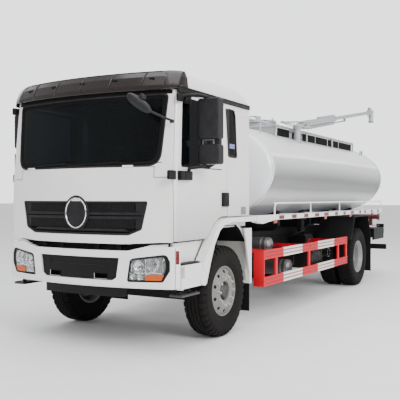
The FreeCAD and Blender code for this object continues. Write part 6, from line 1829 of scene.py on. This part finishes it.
for x0, x1, y, z, r in ((520, 1020, 2930, 985, 105), (520, 1000, 3700, 600, 118)):
    for x in (x0 + 86, x1 - 114):
        atd.ring((x, y, z), (1, 0, 0), r + 1.5, r - 1, 34, 40, 1)
atd.tube([(1064, 2930, 985), (1075, 2960, 960), (1060, 3100, 900), (900, 3300, 860), (700, 3420, 800), (520, 3440, 790)], 9, 8, smooth=60)
atd.tube([(1044, 3700, 600), (1056, 3730, 640), (1000, 3900, 760), (760, 4000, 830), (520, 4020, 830)], 9, 8, smooth=60)
atd.done()
ftd = B("fuel_tank_fittings", M["steel"], "chassis", "tank_alloy")
for yc in (3300, 4100):
    ftd.box(-1122, -1116, yc - 18, yc + 18, 470, 850, 2)
    ftd.cyl((-1119, yc, 868), (-1119, yc, 900), 7, 10, 1)
    ftd.hexbolt((-1119, yc, 884), (0, 0, 1), 11, 10)
ftd.cyl((-900, 3180, 884), (-900, 3180, 900), 54, 28, 3)
ftd.box(-950, -850, 3172, 3188, 900, 908, 3)
ftd.done()
btd = B("battery_box_cover", M["black"], "chassis", "frame_black")
btd.box(464, 1096, 4344, 4956, 790, 812, 8, 3)
btd.box(1088, 1098, 4380, 4920, 540, 770, 5, 2)
for y in (4450, 4850):
    btd.box(1096, 1106, y - 14, y + 14, 740, 806, 4, 2)
for k in range(6):
    btd.box(1096, 1101, 4400 + 88 * k, 4452 + 88 * k, 560, 720, 2)
btd.done()
pjs = B("propshaft_joints", M["dark_steel"], "chassis", "cast_iron")
for y, z in ((2010, 796), (4000, 725), (6330, 640)):
    pjs.cyl((0, y, z), (0, y + 26, z - 1), 84, 24, 2)
    pjs.box(-60, 60, y + 30, y + 90, z - 24, z + 22, 10, 3)
pjs.done()
egd = B("engine_ribs", M["iron"], "chassis", "cast_iron")
for k in range(9):
    egd.box(-276, 276, 840 + 118 * k, 856 + 118 * k, 712, 1236, 5, 2)
egd.box(-230, 230, 1000, 1700, 640, 706, 24, 4)
egd.cyl((0, 770, 960), (0, 804, 960), 120, 32, 6)
egd.torus((0, 775, 960), (0, 1, 0), 112, 14, 32, 8)
egd.done()
exh = B("silencer", M["dark_steel"], "chassis", "cast_iron")
exh.cyl((-560, 2150, 760), (-560, 2720, 760), 105, 32, 22)
exh.ring((-560, 2250, 760), (0, 1, 0), 109, 104, 24, 32, 1)
exh.ring((-560, 2600, 760), (0, 1, 0), 109, 104, 24, 32, 1)
exh.tube([(-560, 2160, 760), (-520, 2060, 820), (-400, 1950, 900), (-280, 1850, 940)], 42, 14, smooth=60)
exh.done()
hs_ = B("brake_hoses", M["rubber"], "chassis", "flap_rubber")
for sx in (1, -1):
    hs_.tube([(sx * 440, 1500, 980), (sx * 520, 1480, 900), (sx * 560, 1440, 760), (sx * 540, 1420, 640)], 9, 8, smooth=50)
    hs_.tube([(sx * 425, 6300, 950), (sx * 470, 6350, 880), (sx * 500, 6480, 740), (sx * 470, 6580, 640)], 9, 8, smooth=50)
hs_.tube([(240, 500, 840), (240, 2000, 830), (300, 3000, 850), (320, 5000, 850), (320, 6500, 850), (320, 8600, 850)], 7, 8)
hs_.tube([(-240, 500, 840), (-240, 2000, 830), (-300, 3000, 850), (-320, 5000, 850), (-320, 6500, 850), (-320, 8600, 850)], 7, 8)
hs_.done()
# ribs and clamps on the mud flaps
mfl = B("mud_flap_ribs", M["rubber"], "chassis", "flap_rubber")
for x0, x1, y, z0, z1 in ((765, 1135, 2000.5, 215, 552), (600, 1205, 7494.5, 200, 880)):
    for k in range(5):
        xx = x0 + (x1 - x0) * (k + 0.5) / 5
        mfl.box(xx - 10, xx + 10, y, y + 15, z0 + 20, z1 - 60, 3, 2)
mfl.mirror()
mfl.done()
mfc = B("mud_flap_clamps", M["steel"], "chassis", "cast_iron")
for x in (800, 950, 1100):
    mfc.hexbolt((x, 2015, 540), (0, 1, 0), 9, 6)
for x in (640, 800, 960, 1120):
    mfc.hexbolt((x, 7520, 856), (0, 1, 0), 9, 6)
mfc.mirror()
mfc.done()

# =====================================================================
# floor, light, camera
# =====================================================================
def stage_plane():
    m, nt, bs = new_mat("studio_floor")
    v = coords(nt)
    n = noise(nt, v, 2.2, 6.0, 0.6)
    nt.links.new(mixc(nt, maprange(nt, n, 0.3, 0.7, 0.0, 1.0), (0.80, 0.80, 0.81), (0.84, 0.84, 0.84)), bs.inputs["Base Color"])
    bs.inputs["Roughness"].default_value = 0.75
    xs = (-140.0, 100.0)
    path = [(-60.0, 0.0), (140.0, 0.0)]
    me = bpy.data.meshes.new("stage_floor")
    vs, fs = [], []
    for y, z in path:
        vs += [(xs[0], y, z), (xs[1], y, z)]
    for i in range(len(path) - 1):
        fs.append((2 * i, 2 * i + 1, 2 * i + 3, 2 * i + 2))
    me.from_pydata(vs, [], fs)
    me.polygons.foreach_set("use_smooth", [True] * len(fs))
    ob = bpy.data.objects.new("stage_floor", me)
    ob.location = (0.0, 0.0, -0.001)
    bpy.context.scene.collection.objects.link(ob)
    me.materials.append(m)


stage_plane()


def area(name, loc, target, size, power, col=(1.0, 1.0, 1.0), sy=None):
    li = bpy.data.lights.new(name, "AREA")
    li.energy = power
    li.color = col
    li.size = size
    if sy:
        li.shape = "RECTANGLE"
        li.size_y = sy
    ob = bpy.data.objects.new(name, li)
    ob.location = loc
    d = Vector(target) - Vector(loc)
    ob.rotation_euler = d.to_track_quat("-Z", "Y").to_euler()
    bpy.context.scene.collection.objects.link(ob)
    return ob


area("sky_soft", (2.0, -2.0, 13.0), (0.0, 0.0, 0.0), 13.0, 1500.0, (0.97, 0.985, 1.0), 16.0)
area("key_left", (11.0, -9.0, 7.5), (0.5, -1.0, 1.5), 5.0, 1350.0, (1.0, 0.985, 0.96))
ff = area("fill_front", (-5.0, -14.0, 4.5), (0.0, -3.5, 1.6), 6.0, 480.0, (0.97, 0.985, 1.0))
ff.visible_glossy = False
area("side_strip", (12.0, 3.0, 4.0), (0.5, 1.0, 1.8), 4.0, 450.0, (1.0, 0.99, 0.98), 7.0)

su = bpy.data.lights.new("even_top_light", "SUN")
su.energy = 1.1
su.angle = 1.2
so_ = bpy.data.objects.new("even_top_light", su)
so_.rotation_euler = (math.radians(12.0), math.radians(14.0), 0.0)
bpy.context.scene.collection.objects.link(so_)

w = bpy.data.worlds.new("studio_world")
bpy.context.scene.world = w
w.use_nodes = True
bg = w.node_tree.nodes["Background"]
bg.inputs["Color"].default_value = (0.97, 0.98, 1.0, 1.0)
wt = w.node_tree
tc = wt.nodes.new("ShaderNodeTexCoord")
dp = wt.nodes.new("ShaderNodeVectorMath")
dp.operation = "DOT_PRODUCT"
dp.inputs[1].default_value = (-0.4955, 0.8686, 0.0)
mr = wt.nodes.new("ShaderNodeMapRange")
mr.interpolation_type = "SMOOTHSTEP"
for k_, x_ in ((1, 0.50), (2, 0.90), (3, 0.55), (4, 2.3)):
    mr.inputs[k_].default_value = x_
wt.links.new(tc.outputs["Generated"], dp.inputs[0])
wt.links.new(dp.outputs["Value"], mr.inputs[0])
wt.links.new(mr.outputs[0], bg.inputs["Strength"])

cam = bpy.data.cameras.new("photo_camera")
cam.sensor_width = 36.0
cam.lens = 58.88
cam.clip_end = 300.0
co = bpy.data.objects.new("photo_camera", cam)
co.location = (4.728, -9.997, 1.647)
yaw, pitch = math.radians(29.70), math.radians(-0.194)
d = Vector((-math.sin(yaw) * math.cos(pitch), math.cos(yaw) * math.cos(pitch), math.sin(pitch)))
co.rotation_euler = d.to_track_quat("-Z", "Y").to_euler()
bpy.context.scene.collection.objects.link(co)
bpy.context.scene.camera = co
